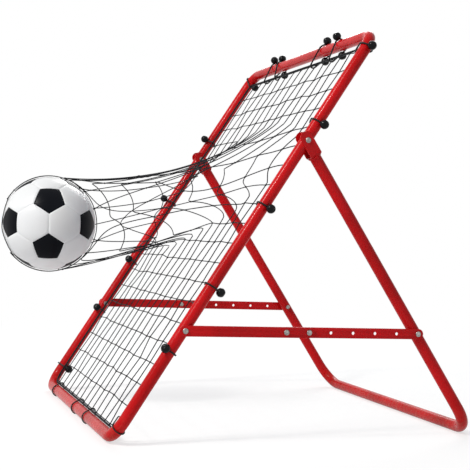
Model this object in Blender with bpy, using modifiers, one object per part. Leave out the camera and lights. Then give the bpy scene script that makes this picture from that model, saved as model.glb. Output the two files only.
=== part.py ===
"""Soccer rebounder: a leaning steel frame with a tied net, a folding rear leg and a ball in the net.

Metres, +Z up. X runs across the frame, Y runs back from the front foot towards the rear foot.
The origin is on the floor, under the middle of the front foot tube. "near" means the +X side.
"""

import math

import bmesh
import bpy
from mathutils import Matrix, Vector

# Frame sizes
FRAME_LENGTH = 1.000
FRAME_WIDTH = 0.800
LEAN = math.radians(57.5)
TUBE_RADIUS = 0.0125
TUBE_WALL = 0.0015
TUBE_SIDES = 12
FRONT_BEND_RADIUS = 0.045
REAR_BEND_RADIUS = 0.060
BEND_STEPS = 4
BEND_SETTLE = 0.004

# Joint between the upper and the lower frame tube
SEAM_ABOVE_HINGE = 0.009
SWAGE_LENGTH = 0.060
SWAGE_TAPER = 0.003

# Rear leg
HINGE_ALONG = 0.722
REAR_FOOT_DEPTH = 0.791
FOLD_PITCHES = 3

# Hinge fork
FORK_PLATE = 0.0025
FORK_HALF_WIDTH = 0.0135
FORK_TAIL = 0.020
FORK_RUNNING_GAP = 0.003

# Side struts
BAR_HEIGHT = 0.022
BAR_THICKNESS = 0.003
BAR_END_MARGIN = 0.012
FRONT_PIVOT_ALONG = 0.255
REAR_PIVOT_ALONG = 0.479
HOLE_PITCH = 0.050
REAR_BAR_PITCHES = 6
SPACER_RADIUS = 0.008

# Bolts and nuts
BOLT_RADIUS = 0.0029
HOLE_RADIUS = 0.0033
HEX_ACROSS_FLATS = 0.010
HEAD_RADIUS = 0.006
HEAD_HEIGHT = 0.0033
HEAD_SIDES = 10
NUT_HEIGHT = 0.006
BOLT_PAST_NUT = 0.0015

# Net and its cords
NET_COLUMNS = 15
NET_ROWS = 19
STRAND = 0.0025
ROPE_RADIUS = 0.0025
ROPE_CLEAR_OF_NUTS = 0.0010
ROPE_FROM_TOP_AXIS = 0.036
ROPE_FROM_BOTTOM_TUBE = 0.0005
ROPE_TOP_CORNER = 0.010
CORD_RADIUS = 0.0018
CORD_SLACK = 0.0005
TIE_BALL_RADIUS = 0.0097
RING_RADIUS = 0.0014
RING_SLACK = 0.0003
RING_UNDER_TUBE = 0.0016
LOW_KNOB_ANGLE = -135.0
CORNER_TIE_INSIDE = 0.0036

# Ball and the pocket that it draws out of the net
BALL_RADIUS = 0.110
BALL_CENTRE = Vector((-0.100, -0.063, 0.436))
BALL_TRAVEL_PITCH = math.radians(7.5)
PANEL_THICKNESS = 0.0020
PANEL_SEAM = 0.0006
LINING_THICKNESS = 0.0010
PLATE_ROOT = 0.0022
BLADDER_THICKNESS = 0.0010
BLADDER_GAP = 0.0005
VALVE_RADIUS = 0.0055
VALVE_DEPTH = 0.006
VALVE_SUNK = 0.0008
VALVE_SIDE = (-0.8, 0.5, 0.3)
VIEW_SIDE = (0.989, -0.147, 0.0)
# Where on the net the ball has met it, and how much of the net is on the ball, in cells
POCKET_MET_AT = (5.474, 11.5)
POCKET_GRIP_CELLS = 1.54
POCKET_GRIP_ANGLE = math.radians(106.5)
POCKET_OPEN_WIDE = math.radians(84.0)
POCKET_SQUEEZE = 1.8
POCKET_CROWD = 1.5  # above 1 the pocket's knots lie nearer the ball
POCKET_NEAR = 0.455
POCKET_FAR = 0.260
POCKET_UP = 0.180
POCKET_DOWN = 0.140
POCKET_TILT = 0.20
POCKET_SKIN_GAP = 0.0015
POCKET_FINE = 1.05
POCKET_INWARD = 0.113
POCKET_INWARD_RISE = 0.070
POCKET_PULL = 0.48
POCKET_FLARE = 0.25
POCKET_FLARE_RISE = 0.13
POCKET_LIFT = 0.03

# Gap between solids that touch on the real object
FIT = 0.0003

# Sizes that follow from those above
TUBE_FLAT = TUBE_RADIUS * math.cos(math.pi / TUBE_SIDES)
# The front foot stands on the elastic rings round it, which its weight squashes flat.
FRAME_ORIGIN = Vector((0.0, 0.0, TUBE_RADIUS + RING_SLACK + RING_UNDER_TUBE))
ALONG = Vector((0.0, math.cos(LEAN), math.sin(LEAN)))
OUTWARD = Vector((0.0, -math.sin(LEAN), math.cos(LEAN)))
HINGE = FRAME_ORIGIN + ALONG * HINGE_ALONG
REAR_FOOT = Vector((0.0, REAR_FOOT_DEPTH, TUBE_FLAT))
LEG_LENGTH = (REAR_FOOT - HINGE).length
LEG_SLOPE = math.atan2(REAR_FOOT.z - HINGE.z, REAR_FOOT.y - HINGE.y)
LEG_DOWN = Vector((0.0, math.cos(LEG_SLOPE), math.sin(LEG_SLOPE)))
FRONT_PIVOT = FRAME_ORIGIN + ALONG * FRONT_PIVOT_ALONG
REAR_PIVOT = HINGE + LEG_DOWN * REAR_PIVOT_ALONG
STRUT_SPAN = (REAR_PIVOT - FRONT_PIVOT).length


def angle_between(first, second, across):
    """The angle between two sides of a triangle whose third side is given."""
    return math.acos((first**2 + second**2 - across**2) / (2 * first * second))


# The leg closes by as many of the strut's holes as FOLD_PITCHES says.
FOLDED_SPAN = STRUT_SPAN - FOLD_PITCHES * HOLE_PITCH
CLOSED_ANGLE = angle_between(HINGE_ALONG - FRONT_PIVOT_ALONG, REAR_PIVOT_ALONG, FOLDED_SPAN)
FORK_REACH = (
    TUBE_RADIUS + FORK_RUNNING_GAP + FORK_HALF_WIDTH * math.cos(CLOSED_ANGLE)
) / math.sin(CLOSED_ANGLE)
FORK_INNER = TUBE_FLAT + FIT
FORK_OUTER = FORK_INNER + FORK_PLATE
REAR_BAR_FACE = TUBE_FLAT + FIT
FRONT_BAR_FACE = REAR_BAR_FACE + BAR_THICKNESS + FIT
NUT_REACH = FORK_OUTER + FIT + NUT_HEIGHT + BOLT_PAST_NUT
ROPE_FROM_SIDE_AXIS = NUT_REACH + ROPE_CLEAR_OF_NUTS + ROPE_RADIUS
ROPE_HALF_WIDTH = FRAME_WIDTH / 2 - ROPE_FROM_SIDE_AXIS
ROPE_BOTTOM = TUBE_RADIUS + ROPE_FROM_BOTTOM_TUBE + ROPE_RADIUS
ROPE_TOP = FRAME_LENGTH - ROPE_FROM_TOP_AXIS
ROPE_FOOT_CORNER = FRONT_BEND_RADIUS - ROPE_BOTTOM
NET_INSET = ROPE_RADIUS + FIT + STRAND / 2
NET_HALF_WIDTH = ROPE_HALF_WIDTH - NET_INSET
NET_BOTTOM = ROPE_BOTTOM + NET_INSET
NET_TOP = ROPE_TOP - NET_INSET
NET_CELL_HIGH = (NET_TOP - NET_BOTTOM) / NET_ROWS
NET_CELL_WIDE = 2 * NET_HALF_WIDTH / NET_COLUMNS
POCKET_GRIP_WIDE = POCKET_GRIP_CELLS * NET_CELL_WIDE
POCKET_GRIP_HIGH = POCKET_GRIP_CELLS * NET_CELL_HIGH
BALL_AXIS = Vector((0.0, -math.cos(BALL_TRAVEL_PITCH), -math.sin(BALL_TRAVEL_PITCH)))
BALL_UP = Vector((0.0, -math.sin(BALL_TRAVEL_PITCH), math.cos(BALL_TRAVEL_PITCH)))

# Ties on the tubes: the net's cell, the share of the cell, and the angle of the knob round the tube,
# from straight outward towards the front
NEAR_TIES = ((15, 0.12, -25.0), (10, 0.88, -30.0), (6, 0.88, -75.0), (3, 0.74, 41.0))
FAR_TIES = ((15, 0.25, 112.0), (11, 0.27, 94.0), (7, 0.42, 140.0), (4, 0.33, 140.0), (0, 0.77, -140.0))
# Ties on the top tube: the cell, the share, the upper knob's angle and how far the loop leans along the tube
TOP_TIES = ((2, 0.80, 50.0, 0.018), (4, 0.35, 22.0, -0.024), (9, 0.55, 30.0, 0.026), (11, 0.80, 60.0, 0.004))
# The first of the top ties that has a second knob, under the tube
FIRST_DOUBLE_TIE = 2
# Rings on the bottom tube: the cell and the share
BOTTOM_RINGS = ((1, 0.85), (7, 0.50), (10, 0.30))
# Ties on the bends: the angle round the bend from the side, and the knob's angle
NEAR_CORNER_TIE = (10.0, -8.0)
FAR_CORNER_TIE = (36.0, -140.0)
NEAR_FOOT_RING = 30.0


def clear_scene():
    """Remove every object, so that the model starts in an empty scene."""
    for item in list(bpy.data.objects):
        bpy.data.objects.remove(item, do_unlink=True)


def make_collection(name, hidden=False):
    """A new collection under the scene's own one."""
    made = bpy.data.collections.new(name)
    bpy.context.scene.collection.children.link(made)
    made.hide_render = hidden
    return made


def make_material(name, colour, roughness, metallic=0.0):
    """A Principled material with one colour."""
    made = bpy.data.materials.new(name)
    made.use_nodes = True
    shader = made.node_tree.nodes["Principled BSDF"]
    shader.inputs["Base Color"].default_value = (*colour, 1.0)
    shader.inputs["Roughness"].default_value = roughness
    shader.inputs["Metallic"].default_value = metallic
    return made


clear_scene()
PARTS = make_collection("soccer_rebounder")
CUTTERS = make_collection("cutters", hidden=True)

RED_PAINT = make_material("red_paint", (0.62, 0.03, 0.03), 0.30)
ZINC = make_material("zinc", (0.62, 0.63, 0.65), 0.35, 1.0)
BLACK_CORD = make_material("black_cord", (0.015, 0.015, 0.017), 0.75)
BLACK_PLASTIC = make_material("black_plastic", (0.012, 0.012, 0.014), 0.25)
WHITE_SKIN = make_material("white_skin", (0.80, 0.80, 0.82), 0.35)
BLACK_SKIN = make_material("black_skin", (0.015, 0.015, 0.018), 0.35)
BLADDER_RUBBER = make_material("bladder_rubber", (0.05, 0.05, 0.05), 0.60)


def add_empty(name, place, tilt=0.0):
    """An empty at a place, turned about X, that carries a group of pieces."""
    made = bpy.data.objects.new(name, None)
    made.empty_display_size = 0.05
    made.location = place
    made.rotation_euler = (tilt, 0.0, 0.0)
    PARTS.objects.link(made)
    return made


FRAME_PLANE = add_empty("frame_plane", FRAME_ORIGIN, LEAN)
LEG_PLANE = add_empty("leg_plane", HINGE, LEG_SLOPE)
BALL_EMPTY = add_empty("ball_centre", BALL_CENTRE)


def add_object(name, data, finish, parent=None, collection=None):
    """Link a new object, give it its material and its parent."""
    made = bpy.data.objects.new(name, data)
    (collection or PARTS).objects.link(made)
    if finish is not None:
        data.materials.clear()
        data.materials.append(finish)
    made.parent = parent
    return made


def new_mesh(name, shape):
    """A mesh datablock from a bmesh, which is freed."""
    mesh = bpy.data.meshes.new(name)
    shape.to_mesh(mesh)
    shape.free()
    return mesh


def shade_round(item, angle=35.0):
    """Smooth shading with edges kept sharp above an angle."""
    item.data.shade_smooth()
    item.data.set_sharp_from_angle(angle=math.radians(angle))


def as_mesh(item):
    """Turn a curve object into a mesh object of the same name, with welded caps."""
    bpy.context.view_layer.update()
    graph = bpy.context.evaluated_depsgraph_get()
    mesh = bpy.data.meshes.new_from_object(item.evaluated_get(graph))
    shape = bmesh.new()
    shape.from_mesh(mesh)
    bmesh.ops.remove_doubles(shape, verts=shape.verts, dist=0.000001)
    bmesh.ops.recalc_face_normals(shape, faces=shape.faces)
    shape.to_mesh(mesh)
    shape.free()
    name = item.name
    parent = item.parent
    matrix = item.matrix_world.copy()
    finish = item.data.materials[0] if item.data.materials else None
    homes = list(item.users_collection)
    bpy.data.objects.remove(item, do_unlink=True)
    made = bpy.data.objects.new(name, mesh)
    homes[0].objects.link(made)
    if finish is not None:
        mesh.materials.clear()
        mesh.materials.append(finish)
    made.parent = parent
    made.matrix_world = matrix
    return made


def cut(item, cutter, operation="DIFFERENCE"):
    """Add a Boolean to an object."""
    step = item.modifiers.new(cutter.name, "BOOLEAN")
    step.operation = operation
    step.solver = "EXACT"
    step.object = cutter


def apply_modifiers(item):
    """Replace an object's mesh by its evaluated one."""
    bpy.context.view_layer.update()
    graph = bpy.context.evaluated_depsgraph_get()
    mesh = bpy.data.meshes.new_from_object(item.evaluated_get(graph))
    item.modifiers.clear()
    item.data = mesh
    return item


def hide_cutter(item):
    """Mark an object as a cutter."""
    item.hide_render = True
    item.display_type = "WIRE"
    return item


def pin_cutter(name, place, radius, length, sides=TUBE_SIDES):
    """A cylinder along X that cuts a bolt hole."""
    shape = bmesh.new()
    turn = Matrix.Rotation(math.pi / 2, 4, "Y")
    bmesh.ops.create_cone(
        shape, cap_ends=True, segments=sides, radius1=radius, radius2=radius, depth=length, matrix=turn
    )
    made = add_object(name, new_mesh(name, shape), None, collection=CUTTERS)
    made.location = place
    return hide_cutter(made)


def rounded_corner(centre, start_angle, radius):
    """Points of a quarter turn, from start_angle on by 90 degrees, in a plane."""
    points = []
    for step in range(BEND_STEPS + 1):
        angle = start_angle + (math.pi / 2) * step / BEND_STEPS
        points.append((centre[0] + radius * math.cos(angle), centre[1] + radius * math.sin(angle)))
    return points


def tube_from_path(name, path, parent, finish):
    """A hollow tube along planar points (x, along, radius factor, tilt)."""
    curve = bpy.data.curves.new(name, "CURVE")
    curve.dimensions = "3D"
    curve.twist_mode = "Z_UP"
    curve.bevel_depth = TUBE_RADIUS
    curve.bevel_resolution = TUBE_SIDES // 2 - 2
    curve.use_fill_caps = False
    line = curve.splines.new("POLY")
    line.points.add(len(path) - 1)
    for point, (across, along, factor, tilt) in zip(line.points, path):
        point.co = (across, along, 0.0, 1.0)
        point.radius = factor
        point.tilt = tilt
    tube = as_mesh(add_object(name, curve, finish, parent))
    wall = tube.modifiers.new("wall", "SOLIDIFY")
    wall.thickness = TUBE_WALL
    wall.offset = -1.0
    wall.use_even_offset = True
    shade_round(tube)
    return tube


def floor_tilt(slope):
    """The twist that turns a flat of the foot tube to the floor, from the twist that faces +-X."""
    step = 2 * math.pi / TUBE_SIDES
    return (slope + step / 2) % step - step / 2


SIDE_TILT = math.pi / TUBE_SIDES


def u_path(end, foot, bend, slope):
    """A U from (width/2, end) through a rounded foot at (., foot) to (-width/2, end)."""
    half = FRAME_WIDTH / 2
    sign = 1.0 if foot < end else -1.0
    turn = floor_tilt(slope)
    path = [(half, end, 1.0, SIDE_TILT)]
    bends = []
    for step in range(BEND_STEPS + 1):
        angle = (math.pi / 2) * step / BEND_STEPS
        across = half - bend + bend * math.cos(angle)
        along = foot + sign * (bend - bend * math.sin(angle))
        bends.append((across, along, step / BEND_STEPS))
    # A short straight run after each bend squares the tube's section to the foot.
    bends.append((half - bend - BEND_SETTLE, foot, 1.0))
    for across, along, share in bends:
        path.append((across, along, 1.0, SIDE_TILT + turn * share))
    for across, along, share in reversed(bends):
        path.append((-across, along, 1.0, SIDE_TILT + turn * share))
    path.append((-half, end, 1.0, SIDE_TILT))
    return path


def build_frame_tubes():
    """The two U tubes of the front frame; the upper one's swaged ends slide into the lower one."""
    seam = HINGE_ALONG + SEAM_ABOVE_HINGE
    lower = tube_from_path("lower_frame_tube", u_path(seam, 0.0, FRONT_BEND_RADIUS, LEAN), FRAME_PLANE, RED_PAINT)
    swage_flat = TUBE_FLAT - TUBE_WALL - FIT
    factor = swage_flat / TUBE_FLAT
    start = seam + FIT
    upper_path = u_path(start + SWAGE_TAPER, FRAME_LENGTH, FRONT_BEND_RADIUS, 0.0)
    near = (FRAME_WIDTH / 2, SIDE_TILT)
    tail_in = [
        (near[0], start - SWAGE_LENGTH, factor, near[1]),
        (near[0], start, factor, near[1]),
    ]
    tail_out = [(-across, along, share, tilt) for across, along, share, tilt in reversed(tail_in)]
    upper = tube_from_path("upper_frame_tube", tail_in + upper_path + tail_out, FRAME_PLANE, RED_PAINT)
    for side, name in ((1.0, "near"), (-1.0, "far")):
        at_hinge = Vector((side * FRAME_WIDTH / 2, HINGE.y, HINGE.z))
        at_bar = Vector((side * FRAME_WIDTH / 2, FRONT_PIVOT.y, FRONT_PIVOT.z))
        hinge_hole = pin_cutter(f"{name}_hinge_hole", at_hinge, HOLE_RADIUS, 4 * TUBE_RADIUS)
        cut(lower, hinge_hole)
        cut(upper, hinge_hole)
        cut(lower, pin_cutter(f"{name}_front_bar_hole", at_bar, HOLE_RADIUS, 4 * TUBE_RADIUS))


def build_leg():
    """The rear leg tube and the two forks that are welded on its ends."""
    start = FORK_REACH + FORK_PLATE + FIT
    leg = tube_from_path("rear_leg_tube", u_path(start, LEG_LENGTH, REAR_BEND_RADIUS, LEG_SLOPE), LEG_PLANE, RED_PAINT)
    for side, name in ((1.0, "near"), (-1.0, "far")):
        at_bar = Vector((side * FRAME_WIDTH / 2, REAR_PIVOT.y, REAR_PIVOT.z))
        cut(leg, pin_cutter(f"{name}_rear_bar_hole", at_bar, HOLE_RADIUS, 4 * TUBE_RADIUS))
        build_fork(side, name)


def plate_curve(name, outline, holes, thickness, finish, parent=None):
    """A flat plate in local XY with holes, of a thickness along local Z, made a mesh."""
    curve = bpy.data.curves.new(name, "CURVE")
    curve.dimensions = "2D"
    curve.fill_mode = "BOTH"
    curve.extrude = thickness / 2
    for loop in [outline] + holes:
        line = curve.splines.new("POLY")
        line.points.add(len(loop) - 1)
        line.use_cyclic_u = True
        for point, (across, up) in zip(line.points, loop):
            point.co = (across, up, 0.0, 1.0)
    return as_mesh(add_object(name, curve, finish, parent))


def circle_points(centre, radius, count, start=0.0):
    """Points on a circle in a plane."""
    return [
        (
            centre[0] + radius * math.cos(start + 2 * math.pi * step / count),
            centre[1] + radius * math.sin(start + 2 * math.pi * step / count),
        )
        for step in range(count)
    ]


def arc_points(centre, radius, first, last, count):
    """Points on an arc in a plane, both ends included."""
    return [
        (
            centre[0] + radius * math.cos(first + (last - first) * step / count),
            centre[1] + radius * math.sin(first + (last - first) * step / count),
        )
        for step in range(count + 1)
    ]


def build_fork(side, name):
    """A U bracket whose ears hold the frame tube; the leg tube is welded to its web."""
    nose = (-FORK_TAIL + FORK_HALF_WIDTH, 0.0)
    outline = arc_points(nose, FORK_HALF_WIDTH, math.pi / 2, 3 * math.pi / 2, 8)
    back = FORK_REACH + FORK_PLATE
    outline += [(back, -FORK_HALF_WIDTH), (back, FORK_HALF_WIDTH)]
    fork = plate_curve(f"{name}_hinge_fork", outline, [circle_points((0.0, 0.0), HOLE_RADIUS, TUBE_SIDES)],
                       2 * FORK_OUTER, RED_PAINT)
    fork.parent = LEG_PLANE
    # Local X of the plate runs down the leg and its thickness runs across the frame.
    turn = Matrix(((0.0, 0.0, 1.0), (1.0, 0.0, 0.0), (0.0, 1.0, 0.0))).to_4x4()
    fork.matrix_parent_inverse = Matrix.Identity(4)
    fork.matrix_basis = Matrix.Translation((side * FRAME_WIDTH / 2, 0.0, 0.0)) @ turn
    slot = bmesh.new()
    reach = FORK_REACH + 2 * FORK_TAIL
    bmesh.ops.create_cube(slot, size=1.0)
    slot_size = Vector((2 * FORK_INNER, reach, 4 * FORK_HALF_WIDTH))
    bmesh.ops.scale(slot, vec=slot_size, verts=slot.verts)
    cutter = hide_cutter(add_object(f"{name}_fork_slot", new_mesh(f"{name}_fork_slot", slot), None, LEG_PLANE, CUTTERS))
    cutter.location = (side * FRAME_WIDTH / 2, FORK_REACH - reach / 2, 0.0)
    cut(fork, cutter)


def bar_matrix(start, toward, across):
    """Local X along the bar, local Z along world X, origin at the bar's pivot."""
    run = (toward - start).normalized()
    rise = Vector((0.0, -run.z, run.y))
    turn = Matrix(((0.0, 0.0, 1.0), (run.y, rise.y, 0.0), (run.z, rise.z, 0.0))).to_4x4()
    return Matrix.Translation((across, start.y, start.z)) @ turn


def bar_outline(length):
    """A bar with rounded ends, from a hole at 0 to its last hole."""
    half = BAR_HEIGHT / 2
    left = arc_points((-BAR_END_MARGIN + half, 0.0), half, math.pi / 2, 3 * math.pi / 2, 6)
    right = arc_points((length + BAR_END_MARGIN - half, 0.0), half, -math.pi / 2, math.pi / 2, 6)
    return left + right


def build_bars():
    """The side struts: a front bar outside, a rear bar inside, clamped where they overlap."""
    first_hole = STRUT_SPAN - REAR_BAR_PITCHES * HOLE_PITCH
    front_holes = [0.0, first_hole, first_hole + HOLE_PITCH]
    rear_holes = [step * HOLE_PITCH for step in range(REAR_BAR_PITCHES + 1)]
    for side, name in ((1.0, "near"), (-1.0, "far")):
        front_x = side * (FRAME_WIDTH / 2 + FRONT_BAR_FACE + BAR_THICKNESS / 2)
        rear_x = side * (FRAME_WIDTH / 2 + REAR_BAR_FACE + BAR_THICKNESS / 2)
        front = plate_curve(f"{name}_front_bar", bar_outline(front_holes[-1]),
                            [circle_points((at, 0.0), HOLE_RADIUS, 8) for at in front_holes],
                            BAR_THICKNESS, RED_PAINT)
        front.matrix_world = bar_matrix(FRONT_PIVOT, REAR_PIVOT, front_x)
        rear = plate_curve(f"{name}_rear_bar", bar_outline(rear_holes[-1]),
                           [circle_points((at, 0.0), HOLE_RADIUS, 8) for at in rear_holes],
                           BAR_THICKNESS, RED_PAINT)
        rear.matrix_world = bar_matrix(REAR_PIVOT, FRONT_PIVOT, rear_x)


def hex_prism(name, height, finish):
    """A hexagon prism along local Z, from 0 to its height."""
    shape = bmesh.new()
    corner = HEX_ACROSS_FLATS / 2 / math.cos(math.pi / 6)
    lift = Matrix.Translation((0.0, 0.0, height / 2))
    bmesh.ops.create_cone(shape, cap_ends=True, segments=6, radius1=corner, radius2=corner, depth=height, matrix=lift)
    return add_object(name, new_mesh(name, shape), finish)


def round_bar(name, radius, low, high, finish, sides=10):
    """A cylinder along local Z between two heights."""
    shape = bmesh.new()
    lift = Matrix.Translation((0.0, 0.0, (low + high) / 2))
    bmesh.ops.create_cone(
        shape, cap_ends=True, segments=sides, radius1=radius, radius2=radius, depth=high - low, matrix=lift
    )
    return add_object(name, new_mesh(name, shape), finish)


def domed_head(name, finish):
    """A round head on local z = 0 that falls from a small flat in the middle to its rim."""
    shape = bmesh.new()
    rings = []
    for reach, height in ((1.0, 0.0), (0.88, 0.60), (0.45, 1.0)):
        points = circle_points((0.0, 0.0), HEAD_RADIUS * reach, HEAD_SIDES)
        rings.append([shape.verts.new((a, b, HEAD_HEIGHT * height)) for a, b in points])
    for low, high in zip(rings, rings[1:]):
        for side in range(HEAD_SIDES):
            after = (side + 1) % HEAD_SIDES
            shape.faces.new((low[side], low[after], high[after], high[side]))
    shape.faces.new(rings[0][::-1])
    shape.faces.new(rings[-1])
    return add_object(name, new_mesh(name, shape), finish)


def make_bolt(name, grip_end):
    """A round-headed bolt along local -Z: its head stands on z = 0 and its shank runs down to grip_end."""
    head = domed_head(name, ZINC)
    shank = round_bar(f"{name}_shank", BOLT_RADIUS, grip_end, HEAD_HEIGHT / 2, ZINC)
    cut(head, shank, "UNION")
    apply_modifiers(head)
    bpy.data.objects.remove(shank, do_unlink=True)
    return head


def make_nut(name):
    """A hex nut on local Z from -NUT_HEIGHT to 0, with its bore."""
    nut = hex_prism(name, NUT_HEIGHT, ZINC)
    nut.data.transform(Matrix.Translation((0.0, 0.0, -NUT_HEIGHT)))
    bore = round_bar(f"{name}_bore", HOLE_RADIUS - FIT / 2, -2 * NUT_HEIGHT, NUT_HEIGHT, None, TUBE_SIDES)
    cut(nut, bore)
    apply_modifiers(nut)
    bpy.data.objects.remove(bore, do_unlink=True)
    return nut


def make_washer(name, radius, thickness):
    """A ring on local Z from 0 to its thickness."""
    ring = round_bar(name, radius, 0.0, thickness, ZINC, 16)
    bore = round_bar(f"{name}_bore", HOLE_RADIUS, -thickness, 2 * thickness, None, TUBE_SIDES)
    cut(ring, bore)
    apply_modifiers(ring)
    bpy.data.objects.remove(bore, do_unlink=True)
    return ring


def face_matrix(side, across, place):
    """A frame at the place (y, z) whose local Z points outward on this side, at a distance from the side plane."""
    turn = Matrix.Rotation(side * math.pi / 2, 4, "Y")
    return Matrix.Translation((side * (FRAME_WIDTH / 2 + across), place.y, place.z)) @ turn


def place_fasteners():
    """Bolts with outside heads and inside nuts, for the hinges and for both ends of each strut."""
    inside = -TUBE_FLAT - FIT
    groups = (
        ("hinge", HINGE, FORK_OUTER + FIT, -FORK_OUTER - FIT),
        ("front_strut", FRONT_PIVOT, FRONT_BAR_FACE + BAR_THICKNESS + FIT, inside),
        ("rear_strut", REAR_PIVOT, REAR_BAR_FACE + BAR_THICKNESS + FIT, inside),
    )
    for side, name in ((1.0, "near"), (-1.0, "far")):
        for kind, place, head_at, nut_at in groups:
            reach = nut_at - NUT_HEIGHT - BOLT_PAST_NUT - head_at
            bolt = make_bolt(f"{name}_{kind}_bolt", reach)
            bolt.matrix_world = face_matrix(side, head_at, place)
            nut = make_nut(f"{name}_{kind}_nut")
            nut.matrix_world = face_matrix(side, nut_at, place)
        spacer = make_washer(f"{name}_strut_spacer", SPACER_RADIUS, BAR_THICKNESS)
        spacer.matrix_world = face_matrix(side, REAR_BAR_FACE, FRONT_PIVOT)


def place_clamp_bolts():
    """Two bolts and nuts a side clamp the bars; each shank is parted in the thickness of the rear bar."""
    run = (REAR_PIVOT - FRONT_PIVOT).normalized()
    first_hole = STRUT_SPAN - REAR_BAR_PITCHES * HOLE_PITCH
    head_at = FRONT_BAR_FACE + BAR_THICKNESS + FIT
    nut_at = REAR_BAR_FACE - FIT
    for side, name in ((1.0, "near"), (-1.0, "far")):
        for index in (1, 2):
            place = FRONT_PIVOT + run * (first_hole + (index - 1) * HOLE_PITCH)
            bolt = make_bolt(f"{name}_clamp_bolt_{index}", FRONT_BAR_FACE - head_at)
            bolt.matrix_world = face_matrix(side, head_at, place)
            nut = hex_prism(f"{name}_clamp_nut_{index}", NUT_HEIGHT, ZINC)
            nut.data.transform(Matrix.Translation((0.0, 0.0, -NUT_HEIGHT)))
            tip = round_bar(f"{name}_tip_{index}", BOLT_RADIUS, -NUT_HEIGHT - BOLT_PAST_NUT, -NUT_HEIGHT / 2, ZINC)
            cut(nut, tip, "UNION")
            apply_modifiers(nut)
            bpy.data.objects.remove(tip, do_unlink=True)
            nut.matrix_world = face_matrix(side, nut_at, place)


def convex_hull(points):
    """The hull of points in a plane, anticlockwise."""
    ordered = sorted(set(points))

    def half(run):
        chain = []
        for point in run:
            while len(chain) > 1 and (
                (chain[-1][0] - chain[-2][0]) * (point[1] - chain[-2][1])
                - (chain[-1][1] - chain[-2][1]) * (point[0] - chain[-2][0])
            ) <= 1e-12:
                chain.pop()
            chain.append(point)
        return chain

    lower = half(ordered)
    upper = half(list(reversed(ordered)))
    return lower[:-1] + upper[:-1]


def belt_round(circles, threaded):
    """The path of a cord round circles (centre, radius, corners) and through threaded points."""
    points = []
    for centre, radius, corners in circles:
        points += circle_points(centre, radius / math.cos(math.pi / corners), corners, math.pi / corners)
    return convex_hull([(round(a, 7), round(b, 7)) for a, b in points + threaded])


def cord_curve(name, loop, radius, parent, resolution=1):
    """A closed cord along 3D points."""
    curve = bpy.data.curves.new(name, "CURVE")
    curve.dimensions = "3D"
    curve.bevel_depth = radius
    curve.bevel_resolution = resolution
    line = curve.splines.new("POLY")
    line.points.add(len(loop) - 1)
    line.use_cyclic_u = True
    for point, place in zip(line.points, loop):
        point.co = (*place, 1.0)
    return as_mesh(add_object(name, curve, BLACK_CORD, parent))


def tie_section(rope_at, ball_points, radius, slack):
    """The path of one tie in the plane across its tube: round the tube and the net's edge."""
    edge = ROPE_RADIUS + (NET_INSET + STRAND / 2 - ROPE_RADIUS) / 2
    bundle = -(rope_at + NET_INSET + STRAND / 2 - edge)
    around_tube = ((0.0, 0.0), TUBE_RADIUS + slack + radius, 12)
    around_edge = ((bundle, 0.0), edge + slack + radius, 8)
    return belt_round([around_tube, around_edge], ball_points)


def in_cell(cell, share, low, pitch):
    """A place in a cell of the net, from the cell's number and the share across it."""
    return low + (cell + share) * pitch


def ball_point(angle):
    """The centre of a tie ball that lies against its tube."""
    away = TUBE_RADIUS + CORD_SLACK + TIE_BALL_RADIUS
    return (away * math.cos(math.radians(angle)), away * math.sin(math.radians(angle)))


def build_tie(name, base, outward, rope_at, points, radius=CORD_RADIUS, slack=CORD_SLACK, lean=0.0):
    """One tie: an elastic loop round the tube and the edge rope, with its black knobs on it."""
    front = Vector((0.0, 0.0, 1.0))
    aside = outward.cross(front)

    def place(a, b):
        """A point of the loop's plane, which leans along the tube away from the rope."""
        return base + outward * a + front * b + aside * lean * (a + rope_at) / (rope_at + TUBE_RADIUS)

    loop = [place(a, b) for a, b in tie_section(rope_at, points, radius, slack)]
    tie = cord_curve(name, loop, radius, FRAME_PLANE, 0)
    for index, (a, b) in enumerate(points):
        shape = bmesh.new()
        bmesh.ops.create_uvsphere(shape, u_segments=8, v_segments=6, radius=TIE_BALL_RADIUS)
        knob = add_object(f"{name}_knob_{index}", new_mesh(f"{name}_knob", shape), None, FRAME_PLANE, CUTTERS)
        knob.location = place(a, b)
        cut(tie, hide_cutter(knob), "UNION")
    shade_round(tie, 60.0)
    return tie


def side_strand_at(start, toward, cell):
    """How far along a ray in the frame plane the net's side strand of a cell is met."""
    low = NET_BOTTOM + cell * NET_CELL_HIGH
    first = flat_place(math.copysign(NET_HALF_WIDTH, start.x), low)
    run = flat_place(math.copysign(NET_HALF_WIDTH, start.x), low + NET_CELL_HIGH) - first
    gap = first - start
    turn = toward.x * run.y - toward.y * run.x
    return (gap.x * run.y - gap.y * run.x) / turn


def corner_tie(name, side, high, degrees, points, radius=CORD_RADIUS, slack=CORD_SLACK):
    """A tie round a bend of the frame, in the plane of the bend's own spoke."""
    level = FRAME_LENGTH - FRONT_BEND_RADIUS if high else FRONT_BEND_RADIUS
    middle = Vector((side * (FRAME_WIDTH / 2 - FRONT_BEND_RADIUS), level, 0.0))
    rise = math.radians(degrees if high else -degrees)
    outward = Vector((side * math.cos(rise), math.sin(rise), 0.0))
    strand = FRONT_BEND_RADIUS - side_strand_at(middle, outward, NET_ROWS - 1 if high else 0)
    rope_at = strand + CORNER_TIE_INSIDE - NET_INSET
    return build_tie(name, middle + outward * FRONT_BEND_RADIUS, outward, rope_at, points, radius, slack)


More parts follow.
